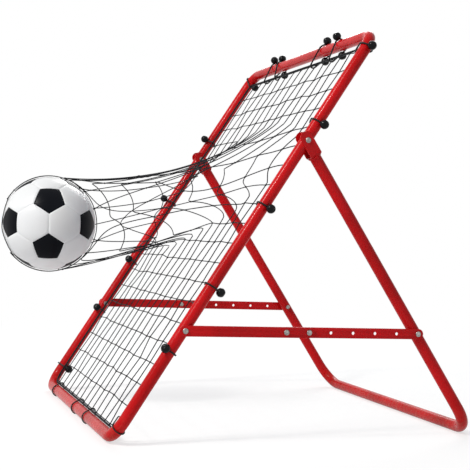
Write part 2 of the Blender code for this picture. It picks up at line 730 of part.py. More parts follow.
def floor_cutter():
    """A slab under the floor that cuts the foot rings flat."""
    slab = bmesh.new()
    bmesh.ops.create_cube(slab, size=1.0)
    depth = 4 * TUBE_RADIUS
    bmesh.ops.scale(slab, vec=Vector((2 * FRAME_WIDTH, 8 * TUBE_RADIUS, depth)), verts=slab.verts)
    made = add_object("floor_slab", new_mesh("floor_slab", slab), None, collection=CUTTERS)
    made.location = (0.0, 0.0, -depth / 2)
    return hide_cutter(made)


def build_ties():
    """Elastic loops with round knobs that hold the net's edge rope to the frame tubes."""
    half = FRAME_WIDTH / 2
    for name, side, corner, ties in (("near", 1.0, NEAR_CORNER_TIE, NEAR_TIES), ("far", -1.0, FAR_CORNER_TIE, FAR_TIES)):
        corner_tie(f"{name}_tie_1", side, True, corner[0], [ball_point(corner[1])])
        for index, (cell, share, angle) in enumerate(ties, 2):
            base = Vector((side * half, in_cell(cell, share, NET_BOTTOM, NET_CELL_HIGH), 0.0))
            outward = Vector((side, 0.0, 0.0))
            rope_at = side_strand_at(base, -outward, cell) - NET_INSET
            build_tie(f"{name}_tie_{index}", base, outward, rope_at, [ball_point(angle)])
    for index, (cell, share, angle, lean) in enumerate(TOP_TIES, 1):
        base = Vector((in_cell(cell, share, -NET_HALF_WIDTH, NET_CELL_WIDE), FRAME_LENGTH, 0.0))
        points = [ball_point(angle)]
        if index >= FIRST_DOUBLE_TIE:
            points.append(ball_point(LOW_KNOB_ANGLE))
        build_tie(f"top_tie_{index}", base, Vector((0.0, 1.0, 0.0)), ROPE_FROM_TOP_AXIS, points, lean=lean)
    rings = []
    for index, (cell, share) in enumerate(BOTTOM_RINGS, 1):
        base = Vector((in_cell(cell, share, -NET_HALF_WIDTH, NET_CELL_WIDE), 0.0, 0.0))
        rings.append(build_tie(f"bottom_ring_{index}", base, Vector((0.0, -1.0, 0.0)), ROPE_BOTTOM, [],
                               RING_RADIUS, RING_SLACK))
    foot = f"bottom_ring_{len(rings) + 1}"
    rings.append(corner_tie(foot, 1.0, False, NEAR_FOOT_RING, [], RING_RADIUS, RING_SLACK))
    floor = floor_cutter()
    for ring in rings:
        cut(ring, floor)


def build_edge_rope():
    """The rope sewn round the net's edge."""
    path = []
    for quarter, side, corner, level in (
        (0, 1.0, ROPE_TOP_CORNER, ROPE_TOP - ROPE_TOP_CORNER),
        (1, -1.0, ROPE_TOP_CORNER, ROPE_TOP - ROPE_TOP_CORNER),
        (2, -1.0, ROPE_FOOT_CORNER, ROPE_BOTTOM + ROPE_FOOT_CORNER),
        (3, 1.0, ROPE_FOOT_CORNER, ROPE_BOTTOM + ROPE_FOOT_CORNER),
    ):
        centre = (side * (ROPE_HALF_WIDTH - corner), level)
        start = quarter * math.pi / 2
        path += arc_points(centre, corner, start, start + math.pi / 2, 4)
    rope = cord_curve("net_edge_rope", [Vector((a, b, 0.0)) for a, b in path], ROPE_RADIUS, FRAME_PLANE)
    shade_round(rope, 70.0)


def pocket_centre():
    """The point of the flat net that the ball has met, in frame coordinates."""
    across, along = POCKET_MET_AT
    return across * NET_CELL_WIDE - NET_HALF_WIDTH, NET_BOTTOM + along * NET_CELL_HIGH


def opened(turn):
    """A direction round the pocket, spread so that one cell opens over the ball's near face."""
    size = abs(turn)
    quarter = math.pi / 2
    corner = math.atan2(0.5, POCKET_GRIP_CELLS)
    if size >= quarter:
        return turn
    if size <= corner:
        wide = POCKET_OPEN_WIDE * size / corner
    else:
        wide = POCKET_OPEN_WIDE + (quarter - POCKET_OPEN_WIDE) * (size - corner) / (quarter - corner)
    return math.copysign(wide, turn)


def leave_angle(turn):
    """How far round the ball the net stays on it, in a direction: to the back on the near side."""
    upright = POCKET_GRIP_ANGLE + BALL_TRAVEL_PITCH * math.sin(turn)
    if abs(turn) >= math.pi / 2:
        return upright
    view = Vector(VIEW_SIDE)
    return max(upright, math.pi - math.atan2(view.dot(BALL_AXIS) / view.x, math.cos(turn)))


def to_frame(point):
    """World coordinates as (across, along, outward) in the frame plane."""
    rel = point - FRAME_ORIGIN
    return Vector((rel.x, rel.dot(ALONG), rel.dot(OUTWARD)))


def bezier(a, b, c, d, share):
    """A point of a cubic curve."""
    rest = 1.0 - share
    return a * rest**3 + b * 3 * rest**2 * share + c * 3 * rest * share**2 + d * share**3


def flat_place(across, along):
    """A point of the flat net, drawn in where the edge rope rounds a corner."""
    low = along < FRAME_LENGTH / 2
    corner = ROPE_FOOT_CORNER if low else ROPE_TOP_CORNER
    inner = ROPE_HALF_WIDTH - corner
    level = ROPE_BOTTOM + corner if low else ROPE_TOP - corner
    if abs(across) <= inner or (along >= level if low else along <= level):
        return Vector((across, along, 0.0))
    middle = Vector((math.copysign(inner, across), level, 0.0))
    away = Vector((across, along, 0.0)) - middle
    away.length = min(away.length, corner - NET_INSET)
    return middle + away


def pocket_place(across, along, centre):
    """Where a point of the flat net goes: round the ball, on the pocket's wall, or where it was."""
    du = across - centre[0]
    dv = along - centre[1]
    grip = math.hypot(du / POCKET_GRIP_WIDE, dv / POCKET_GRIP_HIGH)
    leaned = dv - POCKET_TILT * du
    wide = POCKET_NEAR if du > 0 else POCKET_FAR
    high = POCKET_UP if leaned > 0 else POCKET_DOWN
    edge = math.hypot(du / wide, leaned / high)
    if edge >= 1.0:
        return flat_place(across, along)
    turn = opened(math.atan2(dv / POCKET_GRIP_HIGH, du / POCKET_GRIP_WIDE))
    spoke = Vector((math.cos(turn), 0.0, 0.0)) + BALL_UP * math.sin(turn)
    reach = BALL_RADIUS + POCKET_SKIN_GAP + STRAND / 2
    last_angle = leave_angle(turn)
    if grip <= 1.0:
        angle = last_angle * grip ** (1.0 + POCKET_SQUEEZE * max(0.0, math.cos(turn)))
        return to_frame(BALL_CENTRE + (BALL_AXIS * math.cos(angle) + spoke * math.sin(angle)) * reach)
    share = ((1.0 - 1.0 / grip) / (1.0 / edge - 1.0 / grip)) ** POCKET_CROWD
    leave = BALL_AXIS * math.cos(last_angle) + spoke * math.sin(last_angle)
    inward = POCKET_INWARD + POCKET_INWARD_RISE * math.sin(turn)
    tangent = (-BALL_AXIS - spoke * inward).normalized()
    first = to_frame(BALL_CENTRE + leave * reach)
    last = Vector((centre[0] + du / edge, centre[1] + dv / edge, 0.0))
    span = (last - first).length
    pull = to_frame(BALL_CENTRE + leave * reach + tangent * span * POCKET_PULL)
    middle = Vector((centre[0], centre[1], 0.0))
    share_in = POCKET_FLARE + POCKET_FLARE_RISE * math.sin(turn)
    flare = last + (middle - last) * share_in + Vector((0.0, 0.0, POCKET_LIFT * span))
    return bezier(first, pull, flare, last, share)


def off_line(at, low, pitch, count):
    """How far a coordinate lies beside the nearest line of the net, or 0 between lines."""
    line = low + max(0, min(count, round((at - low) / pitch))) * pitch
    beside = at - line
    return beside if abs(beside) < STRAND else 0.0


def beside_opening(across, along, centre):
    """How far a point of the flat net is from the middle of the opened cell, in cells."""
    return max(abs(across - centre[0] - NET_CELL_WIDE) / NET_CELL_WIDE, abs(along - centre[1]) / NET_CELL_HIGH)


def even_place(low, pitch, at, place, steps=60):
    """Move a point along its strand, so that points lie evenly along the strand once it is drawn out."""
    start = low + math.floor((at - low) / pitch) * pitch
    points = [place(start + pitch * step / steps) for step in range(steps + 1)]
    marks = [0.0]
    for before, after in zip(points, points[1:]):
        marks.append(marks[-1] + (after - before).length)
    target = marks[-1] * (at - start) / pitch
    step = max(index for index, mark in enumerate(marks[:-1]) if mark <= target)
    return start + pitch * (step + (target - marks[step]) / (marks[step + 1] - marks[step])) / steps


def net_vertex(place, centre):
    """Move a point of the flat net with its strand, which keeps its width and thickness."""
    beside_across = off_line(place.x, -NET_HALF_WIDTH, NET_CELL_WIDE, NET_COLUMNS)
    beside_along = off_line(place.y, NET_BOTTOM, NET_CELL_HIGH, NET_ROWS)
    across = place.x - beside_across
    along = place.y - beside_along
    if beside_opening(across, along, centre) < 0.6:
        if beside_along == 0.0 and beside_across != 0.0:
            along = even_place(NET_BOTTOM, NET_CELL_HIGH, along, lambda at: pocket_place(across, at, centre))
        elif beside_across == 0.0 and beside_along != 0.0:
            across = even_place(-NET_HALF_WIDTH, NET_CELL_WIDE, across, lambda at: pocket_place(at, along, centre))
    step = STRAND / 2
    here = pocket_place(across, along, centre)
    ahead = pocket_place(across + step, along, centre) - pocket_place(across - step, along, centre)
    above = pocket_place(across, along + step, centre) - pocket_place(across, along - step, centre)
    ahead.normalize()
    above.normalize()
    normal = ahead.cross(above).normalized()
    return here + ahead * beside_across + above * beside_along + normal * place.z


def build_net():
    """The knotted net: a grid whose edges are made strands, drawn out into the pocket."""
    centre = pocket_centre()
    shape = bmesh.new()
    bmesh.ops.create_grid(shape, x_segments=NET_COLUMNS, y_segments=NET_ROWS, size=0.5)
    middle = (NET_TOP + NET_BOTTOM) / 2
    for vert in shape.verts:
        vert.co.x *= 2 * NET_HALF_WIDTH
        vert.co.y = vert.co.y * (NET_TOP - NET_BOTTOM) + middle
    net = add_object("net", new_mesh("net", shape), BLACK_CORD, FRAME_PLANE)
    strands = net.modifiers.new("strands", "WIREFRAME")
    strands.thickness = STRAND
    strands.use_even_offset = True
    strands.use_boundary = True
    strands.use_replace = True
    strands.offset = 0.0
    apply_modifiers(net)
    shape = bmesh.new()
    shape.from_mesh(net.data)
    gripped = []
    opening = []
    for edge in shape.edges:
        mid = (edge.verts[0].co + edge.verts[1].co) / 2
        grip = math.hypot((mid.x - centre[0]) / POCKET_GRIP_WIDE, (mid.y - centre[1]) / POCKET_GRIP_HIGH)
        if edge.calc_length() > NET_CELL_HIGH / 2 and beside_opening(mid.x, mid.y, centre) < 0.6:
            opening.append(edge)
        elif edge.calc_length() > NET_CELL_HIGH / 2 and grip < POCKET_FINE:
            gripped.append(edge)
    bmesh.ops.subdivide_edges(shape, edges=gripped, cuts=3)
    bmesh.ops.subdivide_edges(shape, edges=opening, cuts=5)
    for vert in shape.verts:
        vert.co = net_vertex(vert.co, centre)
    shape.to_mesh(net.data)
    shape.free()


def ball_turn():
    """Turn a seam between two white panels to VIEW_SIDE, with black panels above and below it."""
    shape = bmesh.new()
    bmesh.ops.create_icosphere(shape, subdivisions=1, radius=1.0)
    edge = max(shape.edges, key=lambda item: sum(vert.co.z + 0.1 * vert.co.x for vert in item.verts))
    first, second = (vert.co.copy() for vert in edge.verts)
    shape.free()
    own = Matrix(((first + second).normalized(), (first - second).normalized(), (first + second).cross(first - second).normalized()))
    view = Vector(VIEW_SIDE).normalized()
    up = (Vector((0.0, 0.0, 1.0)) - view * view.z).normalized()
    wanted = Matrix((view, up, view.cross(up))).transposed()
    return (wanted @ own).to_quaternion()


def valve_axis():
    """The middle of the white panel nearest to VALVE_SIDE, in the ball's own axes."""
    shape = bmesh.new()
    bmesh.ops.create_icosphere(shape, subdivisions=1, radius=1.0)
    wanted = BALL_EMPTY.rotation_quaternion.inverted() @ Vector(VALVE_SIDE)
    best = max((face.calc_center_median() for face in shape.faces), key=lambda middle: middle.dot(wanted))
    axis = best.normalized()
    shape.free()
    return axis


def ball_surface(radius, kinds, fine, seam=0.0):
    """The football's panels with these corner counts, as a surface of this radius."""
    shape = bmesh.new()
    bmesh.ops.create_icosphere(shape, subdivisions=1, radius=1.0)
    bmesh.ops.bevel(shape, geom=list(shape.verts), offset=33.3333, offset_type="PERCENT",
                    affect="VERTICES", segments=1, profile=0.5)
    others = [face for face in shape.faces if len(face.verts) not in kinds]
    bmesh.ops.delete(shape, geom=others, context="FACES")
    if seam > 0.0:
        for face in shape.faces:
            middle = face.calc_center_median()
            for vert in face.verts:
                vert.co += (middle - vert.co).normalized() * seam / radius
    bmesh.ops.poke(shape, faces=list(shape.faces))
    if fine:
        bmesh.ops.subdivide_edges(shape, edges=list(shape.edges), cuts=1, use_grid_fill=True)
    for vert in shape.verts:
        vert.co = vert.co.normalized() * radius
    bmesh.ops.triangulate(shape, faces=list(shape.faces))
    for face in shape.faces:
        face.normal_update()
        if face.normal.dot(face.calc_center_median()) < 0:
            face.normal_flip()
    return shape


def ball_layer(name, radius, kinds, thickness, finish, fine=True, seam=0.0):
    """One layer of the ball, thickened inward and turned with the ball."""
    layer = add_object(name, new_mesh(name, ball_surface(radius, kinds, fine, seam)), finish, BALL_EMPTY)
    wall = layer.modifiers.new("thickness", "SOLIDIFY")
    wall.thickness = thickness
    wall.offset = -1.0
    shade_round(layer)
    return layer


def to_cutters(item):
    """Move an object from the parts to the cutters."""
    PARTS.objects.unlink(item)
    CUTTERS.objects.link(hide_cutter(item))
    return item


def build_ball():
    """The ball: white panels sewn edge to edge, black panels on the lining under them, bladder, valve."""
    BALL_EMPTY.rotation_mode = "QUATERNION"
    BALL_EMPTY.rotation_quaternion = ball_turn()
    lining_radius = BALL_RADIUS - PANEL_THICKNESS - FIT
    bladder_radius = lining_radius - PLATE_ROOT - BLADDER_GAP
    plate = PANEL_THICKNESS + FIT + PLATE_ROOT
    white = ball_layer("ball_white_panels", BALL_RADIUS, (6,), PANEL_THICKNESS, WHITE_SKIN)
    black = ball_layer("ball_black_panels", lining_radius, (5, 6), LINING_THICKNESS, BLACK_SKIN, fine=False)
    plates = ball_layer("black_plates", BALL_RADIUS, (5,), plate, None, seam=PANEL_SEAM)
    cut(black, to_cutters(plates), "UNION")
    bladder = ball_layer("ball_bladder", bladder_radius, (5, 6), BLADDER_THICKNESS, BLADDER_RUBBER, fine=False)
    turn = valve_axis().to_track_quat("Z", "Y").to_matrix().to_4x4()
    low = bladder_radius - VALVE_DEPTH
    valve = round_bar("ball_valve", VALVE_RADIUS, low, BALL_RADIUS - VALVE_SUNK, BLACK_PLASTIC, 10)
    valve.parent = BALL_EMPTY
    valve.matrix_basis = turn
    hole = round_bar("valve_hole", VALVE_RADIUS + FIT, low, BALL_RADIUS + VALVE_DEPTH, None, 10)
    hole.parent = BALL_EMPTY
    hole.matrix_basis = turn
    to_cutters(hole)
    for layer in (white, black, bladder):
        cut(layer, hole)


build_frame_tubes()
build_leg()
build_bars()
place_fasteners()
place_clamp_bolts()
build_edge_rope()
build_ties()
build_net()
build_ball()
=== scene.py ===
"""Looks of the soccer rebounder: leaning frame, tied net, folding leg, side struts and the ball in the net.

Metres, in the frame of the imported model: +Z up, +X to the near side, +Y back towards the rear foot.
"""

import logging
import math
import random
from dataclasses import dataclass, field
from enum import Enum
from typing import Callable, Iterable, Sequence

import bmesh
import bpy
from mathutils import Matrix, Vector


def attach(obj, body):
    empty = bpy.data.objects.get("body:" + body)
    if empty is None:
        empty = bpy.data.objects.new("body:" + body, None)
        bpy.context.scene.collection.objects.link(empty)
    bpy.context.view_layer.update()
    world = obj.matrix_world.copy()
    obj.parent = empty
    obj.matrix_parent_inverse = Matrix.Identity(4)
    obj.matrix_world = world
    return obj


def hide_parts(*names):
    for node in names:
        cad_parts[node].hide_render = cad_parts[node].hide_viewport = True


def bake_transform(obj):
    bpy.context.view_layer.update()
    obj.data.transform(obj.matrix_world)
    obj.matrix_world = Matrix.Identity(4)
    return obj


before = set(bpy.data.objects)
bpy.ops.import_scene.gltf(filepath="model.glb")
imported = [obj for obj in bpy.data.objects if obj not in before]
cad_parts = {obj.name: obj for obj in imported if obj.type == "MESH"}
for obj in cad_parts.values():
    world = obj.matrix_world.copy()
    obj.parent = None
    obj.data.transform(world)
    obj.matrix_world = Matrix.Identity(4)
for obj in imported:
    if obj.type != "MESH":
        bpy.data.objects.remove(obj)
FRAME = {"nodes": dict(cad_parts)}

LOG = logging.getLogger("rebounder")
QUARTER = math.pi / 2
FULL = 2 * math.pi
UP = Vector((0.0, 0.0, 1.0))
NEARLY_ZERO = 1e-9

Colour = tuple[float, float, float]
Place = tuple[float, float, float]
Line = Sequence[Vector]
Frame = tuple[Vector, Vector]
Pair = tuple[float, float]
Knot = tuple[int, int]
Level = float | Callable[[float], float]
Material = bpy.types.Material
Piece = bpy.types.Object
Socket = bpy.types.NodeSocket
Tree = bpy.types.NodeTree


class Side(Enum):
    """The two sides of the frame, by the sign of X."""

    NEAR = 1.0
    FAR = -1.0

    @property
    def label(self) -> str:
        """The word that node names start with."""
        return self.name.lower()


class Body(Enum):
    """The rigid bodies that pieces of both sides ride on."""

    FRAME = "frame"
    LEG = "rear_leg"
    BALL = "ball"


@dataclass(frozen=True)
class Plan:
    """Sizes that several pieces share, the same as in the solids."""

    length: float = 1.000
    width: float = 0.800
    lean: float = math.radians(57.5)
    tube_radius: float = 0.0125
    tube_wall: float = 0.0015
    tube_sides: int = 12
    front_bend: float = 0.045
    rear_bend: float = 0.060
    foot_height: float = 0.0144
    hinge_along: float = 0.722
    rear_foot_depth: float = 0.791
    fork_plate: float = 0.0025
    fork_half: float = 0.0135
    fork_tail: float = 0.020
    fork_gap: float = 0.003
    bar_height: float = 0.022
    bar_thickness: float = 0.003
    bar_margin: float = 0.012
    front_pivot_along: float = 0.255
    rear_pivot_along: float = 0.479
    hole_pitch: float = 0.050
    rear_bar_pitches: int = 6
    fold_pitches: int = 3
    nut_height: float = 0.006
    head_height: float = 0.0033
    bolt_past_nut: float = 0.0015
    rope_radius: float = 0.0025
    rope_clear: float = 0.0010
    rope_above_foot: float = 0.0005
    rope_from_top: float = 0.036
    rope_top_corner: float = 0.010
    strand: float = 0.0025
    fit: float = 0.0003

    @property
    def origin(self) -> Vector:
        """The middle of the front foot tube's axis."""
        return Vector((0.0, 0.0, self.foot_height))

    @property
    def along(self) -> Vector:
        """Up the slope of the frame."""
        return Vector((0.0, math.cos(self.lean), math.sin(self.lean)))

    @property
    def outward(self) -> Vector:
        """Square to the frame plane, towards the front."""
        return Vector((0.0, -math.sin(self.lean), math.cos(self.lean)))

    @property
    def flat(self) -> float:
        """From a tube's axis to a flat of its solid."""
        return self.tube_radius * math.cos(math.pi / self.tube_sides)

    @property
    def hinge(self) -> Vector:
        """The leg's hinge axis at X = 0."""
        return self.origin + self.along * self.hinge_along

    @property
    def rear_foot(self) -> Vector:
        """The rear foot tube's axis at X = 0."""
        return Vector((0.0, self.rear_foot_depth, self.flat))

    @property
    def leg_down(self) -> Vector:
        """From the hinge towards the rear foot."""
        return (self.rear_foot - self.hinge).normalized()

    @property
    def leg_back(self) -> Vector:
        """Square to the leg's plane, towards the back."""
        return Vector((1.0, 0.0, 0.0)).cross(self.leg_down)

    @property
    def front_pivot(self) -> Vector:
        """The front bar's bolt at X = 0."""
        return self.origin + self.along * self.front_pivot_along

    @property
    def rear_pivot(self) -> Vector:
        """The rear bar's bolt at X = 0."""
        return self.hinge + self.leg_down * self.rear_pivot_along

    @property
    def strut_span(self) -> float:
        """Between the strut's two end bolts."""
        return (self.rear_pivot - self.front_pivot).length

    @property
    def first_clamp(self) -> float:
        """From the front pivot to the first clamp bolt."""
        return self.strut_span - self.rear_bar_pitches * self.hole_pitch

    @property
    def fork_reach(self) -> float:
        """From the hinge to the inside of the fork's web."""
        first = self.hinge_along - self.front_pivot_along
        folded = self.strut_span - self.fold_pitches * self.hole_pitch
        square = first**2 + self.rear_pivot_along**2 - folded**2
        closed = math.acos(square / (2 * first * self.rear_pivot_along))
        return (self.tube_radius + self.fork_gap + self.fork_half * math.cos(closed)) / math.sin(closed)

    @property
    def beside(self) -> float:
        """From a tube's axis to the inner face of the fork ear or rear bar beside it."""
        return self.flat + self.fit

    @property
    def fork_outer(self) -> float:
        """From the tube's axis to the outside of a fork ear."""
        return self.beside + self.fork_plate

    @property
    def front_bar_face(self) -> float:
        """From the tube's axis to the front bar's inner face."""
        return self.beside + self.bar_thickness + self.fit

    @property
    def rope_half(self) -> float:
        """Half the width of the rope's loop, which clears the nuts inside the frame."""
        reach = self.fork_outer + self.fit + self.nut_height + self.bolt_past_nut
        return self.width / 2 - (reach + self.rope_clear + self.rope_radius)

    @property
    def rope_bottom(self) -> float:
        """How far up the slope the lower run of rope lies."""
        return self.tube_radius + self.rope_above_foot + self.rope_radius

    @property
    def rope_top(self) -> float:
        """How far up the slope the upper run of rope lies."""
        return self.length - self.rope_from_top

    @property
    def net_inset(self) -> float:
        """From the rope's axis to the net's first strand."""
        return self.rope_radius + self.fit + self.strand / 2

    def frame_point(self, across: float, along: float, out: float = 0.0) -> Vector:
        """A point of the frame's plane, or in front of it, in the model's axes."""
        return self.origin + Vector((across, 0.0, 0.0)) + self.along * along + self.outward * out

    def leg_point(self, across: float, down: float, back: float = 0.0) -> Vector:
        """A point of the leg's plane, or behind it, in the model's axes."""
        return self.hinge + Vector((across, 0.0, 0.0)) + self.leg_down * down + self.leg_back * back


PLAN = Plan()


class Draft:
    """Vertices, faces and cord coordinates of one piece."""

    def __init__(self) -> None:
        """Start empty."""
        self.verts: list[Vector] = []
        self.faces: list[tuple[int, ...]] = []
        self.uvs: list[tuple[Pair, ...]] = []

    def add(self, verts: Iterable[Vector], faces: Iterable[Sequence[int]]) -> None:
        """Add loose geometry with no cord coordinates.

        Args:
            verts: the new points.
            faces: their faces, numbered from 0.
        """
        start = len(self.verts)
        self.verts.extend(verts)
        for face in faces:
            self.faces.append(tuple(start + index for index in face))
            self.uvs.append(((0.0, 0.0),) * len(face))

    def add_shape(self, shape: bmesh.types.BMesh, centre: Vector) -> None:
        """Add a small closed shape round a point, and free it.

        Args:
            shape: the shape, round its own origin.
            centre: where that origin goes.
        """
        shape.verts.index_update()
        verts = [centre + vert.co for vert in shape.verts]
        self.add(verts, [[vert.index for vert in face.verts] for face in shape.faces])
        shape.free()

    def grid(self, rings: Sequence[Line], closed: bool, lengths: Sequence[float]) -> None:
        """Skin rings of points into a tube, with flat ends where it is open.

        Args:
            rings: equal rings, each of them closed round the tube.
            closed: whether the last ring joins the first.
            lengths: how far along the tube each ring is.
        """
        start = len(self.verts)
        sides = len(rings[0])
        for ring in rings:
            self.verts.extend(ring)
        for row in range(len(rings) if closed else len(rings) - 1):
            after = (row + 1) % len(rings)
            low = lengths[row]
            high = lengths[row + 1] if row + 1 < len(lengths) else low + (lengths[1] - lengths[0])
            for side in range(sides):
                beside = (side + 1) % sides
                self.faces.append((start + row * sides + side, start + row * sides + beside,
                                   start + after * sides + beside, start + after * sides + side))
                left, right = side / sides, (side + 1) / sides
                self.uvs.append(((left, low), (right, low), (right, high), (left, high)))
        if not closed:
            for row, order in ((0, range(sides - 1, -1, -1)), (len(rings) - 1, range(sides))):
                self.faces.append(tuple(start + row * sides + side for side in order))
                self.uvs.append(((0.0, lengths[row]),) * sides)

    def sweep(self, points: Line, frames: Sequence[Frame], radius: float, sides: int, closed: bool,
              lengths: Sequence[float] = ()) -> None:
        """Skin a round cord along a line.

        Args:
            points: the line.
            frames: the two directions across it at each point.
            radius: the cord's radius.
            sides: how many sides the cord has.
            closed: whether the line runs back to its start.
            lengths: how far along each point is, if not measured here.
        """
        rings = [ring_points(point, frame, (radius, radius), sides) for point, frame in zip(points, frames)]
        self.grid(rings, closed, (lengths or polyline_lengths(points, closed))[: len(points)])

    def finish(self, name: str, *closing: object) -> Piece:
        """Make the object, with nothing of it below the floor.

        Args:
            name: the piece's name.
            closing: the rest of what link_piece takes, from the material on.

        Returns:
            The new object, linked to the scene.
        """
        mesh = bpy.data.meshes.new(name)
        mesh.from_pydata([(vert.x, vert.y, max(vert.z, 0.0)) for vert in self.verts], [], self.faces)
        layer = mesh.uv_layers.new(name="cord")
        layer.data.foreach_set("uv", [value for face in self.uvs for pair in face for value in pair])
        mesh.validate()
        return link_piece(name, mesh, *closing)


def new_item(name: str, data: bpy.types.ID) -> Piece:
    """Make an object and link it to the scene.

    Args:
        name: its name.
        data: its mesh, curve, lamp or camera.

    Returns:
        The object.
    """
    item = bpy.data.objects.new(name, data)
    bpy.context.scene.collection.objects.link(item)
    return item


def link_piece(name: str, mesh: bpy.types.Mesh, material: Material, sharp: float, weld: float = 0.0,
               middle: Vector | None = None) -> Piece:
    """Make an object of a mesh, turn its faces outward, shade it and link it.

    Args:
        name: the piece's name.
        mesh: its mesh.
        material: its finish.
        sharp: edges steeper than this many degrees stay sharp.
        weld: how close coincident points are, or 0 to leave them.
        middle: what every face turns away from, where that is known.

    Returns:
        The new object.
    """
    shape = bmesh.new()
    shape.from_mesh(mesh)
    if weld > 0.0:
        bmesh.ops.remove_doubles(shape, verts=shape.verts, dist=weld)
    bmesh.ops.recalc_face_normals(shape, faces=shape.faces)
    for face in () if middle is None else shape.faces:
        face.normal_update()
        if face.normal.dot(face.calc_center_median() - middle) < 0.0:
            face.normal_flip()
    shape.to_mesh(mesh)
    shape.free()
    mesh.materials.clear()
    mesh.materials.append(material)
    mesh.shade_smooth()
    mesh.set_sharp_from_angle(angle=math.radians(sharp))
    return new_item(name, mesh)


def settle(piece: Piece, body: str, slot: str, *nodes: str) -> None:
    """Make a piece ride on a body in place of its solids.

    Args:
        piece: the dressed piece.
        body: the body that carries it.
        slot: a material slot name; not used.
        nodes: the solids that it replaces.
    """
    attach(piece, body)
    if nodes:
        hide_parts(*nodes)
    LOG.info("%s rides on %s, %d faces", piece.name, body, len(piece.data.polygons))


def polyline_lengths(points: Line, closed: bool) -> list[float]:
    """The distance along a line at each of its points.

    Args:
        points: the line.
        closed: whether the line runs back to its start.

    Returns:
        The distances, with the whole way round as the last one of a closed line.
    """
    total = [0.0]
    for before, after in zip(points, [*points[1:], points[0]] if closed else points[1:]):
        total.append(total[-1] + (after - before).length)
    return total


def resample(points: Line, step: float) -> list[Vector]:
    """Points an equal distance apart along a closed line.

    Args:
        points: the line.
        step: about how far apart the new points are.

    Returns:
        The new points, without the first one again.
    """
    marks = polyline_lengths(points, True)
    ring = [*points, points[0]]
    count = max(3, round(marks[-1] / step))
    made = []
    index = 0
    for number in range(count):
        at = marks[-1] * number / count
        while index < len(ring) - 2 and marks[index + 1] < at:
            index += 1
        span = max(marks[index + 1] - marks[index], NEARLY_ZERO)
        made.append(ring[index].lerp(ring[index + 1], (at - marks[index]) / span))
    return made


def tangents(points: Line, closed: bool) -> list[Vector]:
    """The direction of a line at each of its points.

    Args:
        points: the line.
        closed: whether the line runs back to its start.

    Returns:
        One direction for each point.
    """
    made = []
    for index in range(len(points)):
        before = points[index - 1] if index or closed else points[0]
        after = points[(index + 1) % len(points)] if index + 1 < len(points) or closed else points[-1]
        made.append((after - before).normalized())
    return made


def across_line(points: Line, normal: Vector, closed: bool, carried: bool = False) -> list[Frame]:
    """Two directions across a line: beside it and up from it.

    Args:
        points: the line.
        normal: the way up.
        closed: whether the line runs back to its start.
        carried: whether the way up is carried on, for a line that leaves its plane.

    Returns:
        The two directions at each point.
    """
    made = []
    for run in tangents(points, closed):
        up = (normal - run * normal.dot(run)).normalized()
        normal = up if carried else normal
        made.append((run.cross(up), up))
    return made


def ring_points(centre: Vector, across: Frame, radii: Pair, sides: int) -> list[Vector]:
    """A ring round a point of a line.

    Args:
        centre: the point.
        across: the two directions across the line.
        radii: the ring's reach in each of them.
        sides: how many points it has.

    Returns:
        The ring's points.
    """
    made = []
    for side in range(sides):
        angle = FULL * side / sides
        made.append(centre + across[0] * radii[0] * math.cos(angle) + across[1] * radii[1] * math.sin(angle))
    return made


def arc(centre: Pair, radius: float, first: float, last: float, steps: int) -> list[Pair]:
    """Points on an arc in a plane.

    Args:
        centre: the arc's centre.
        radius: its radius.
        first: the angle where it starts.
        last: the angle where it ends.
        steps: how many steps it has.

    Returns:
        The points, both ends included.
    """
    angles = [first + (last - first) * step / steps for step in range(steps + 1)]
    return [(centre[0] + radius * math.cos(angle), centre[1] + radius * math.sin(angle)) for angle in angles]


def hull(points: Iterable[Pair]) -> list[Pair]:
    """The convex hull of points in a plane.

    Args:
        points: the points.

    Returns:
        The hull's corners, anticlockwise.
    """
    ordered = sorted({(round(a, 7), round(b, 7)) for a, b in points})

    def half(run: Sequence[Pair]) -> list[Pair]:
        """One side of the hull.

        Args:
            run: the points in order.

        Returns:
            Its corners.
        """
        chain: list[Pair] = []
        for c, d in run:
            while len(chain) > 1:
                (e, f), (g, h) = chain[-2:]
                if (g - e) * (d - f) - (h - f) * (c - e) > 0.0:
                    break
                chain.pop()
            chain.append((c, d))
        return chain

    return half(ordered)[:-1] + half(ordered[::-1])[:-1]


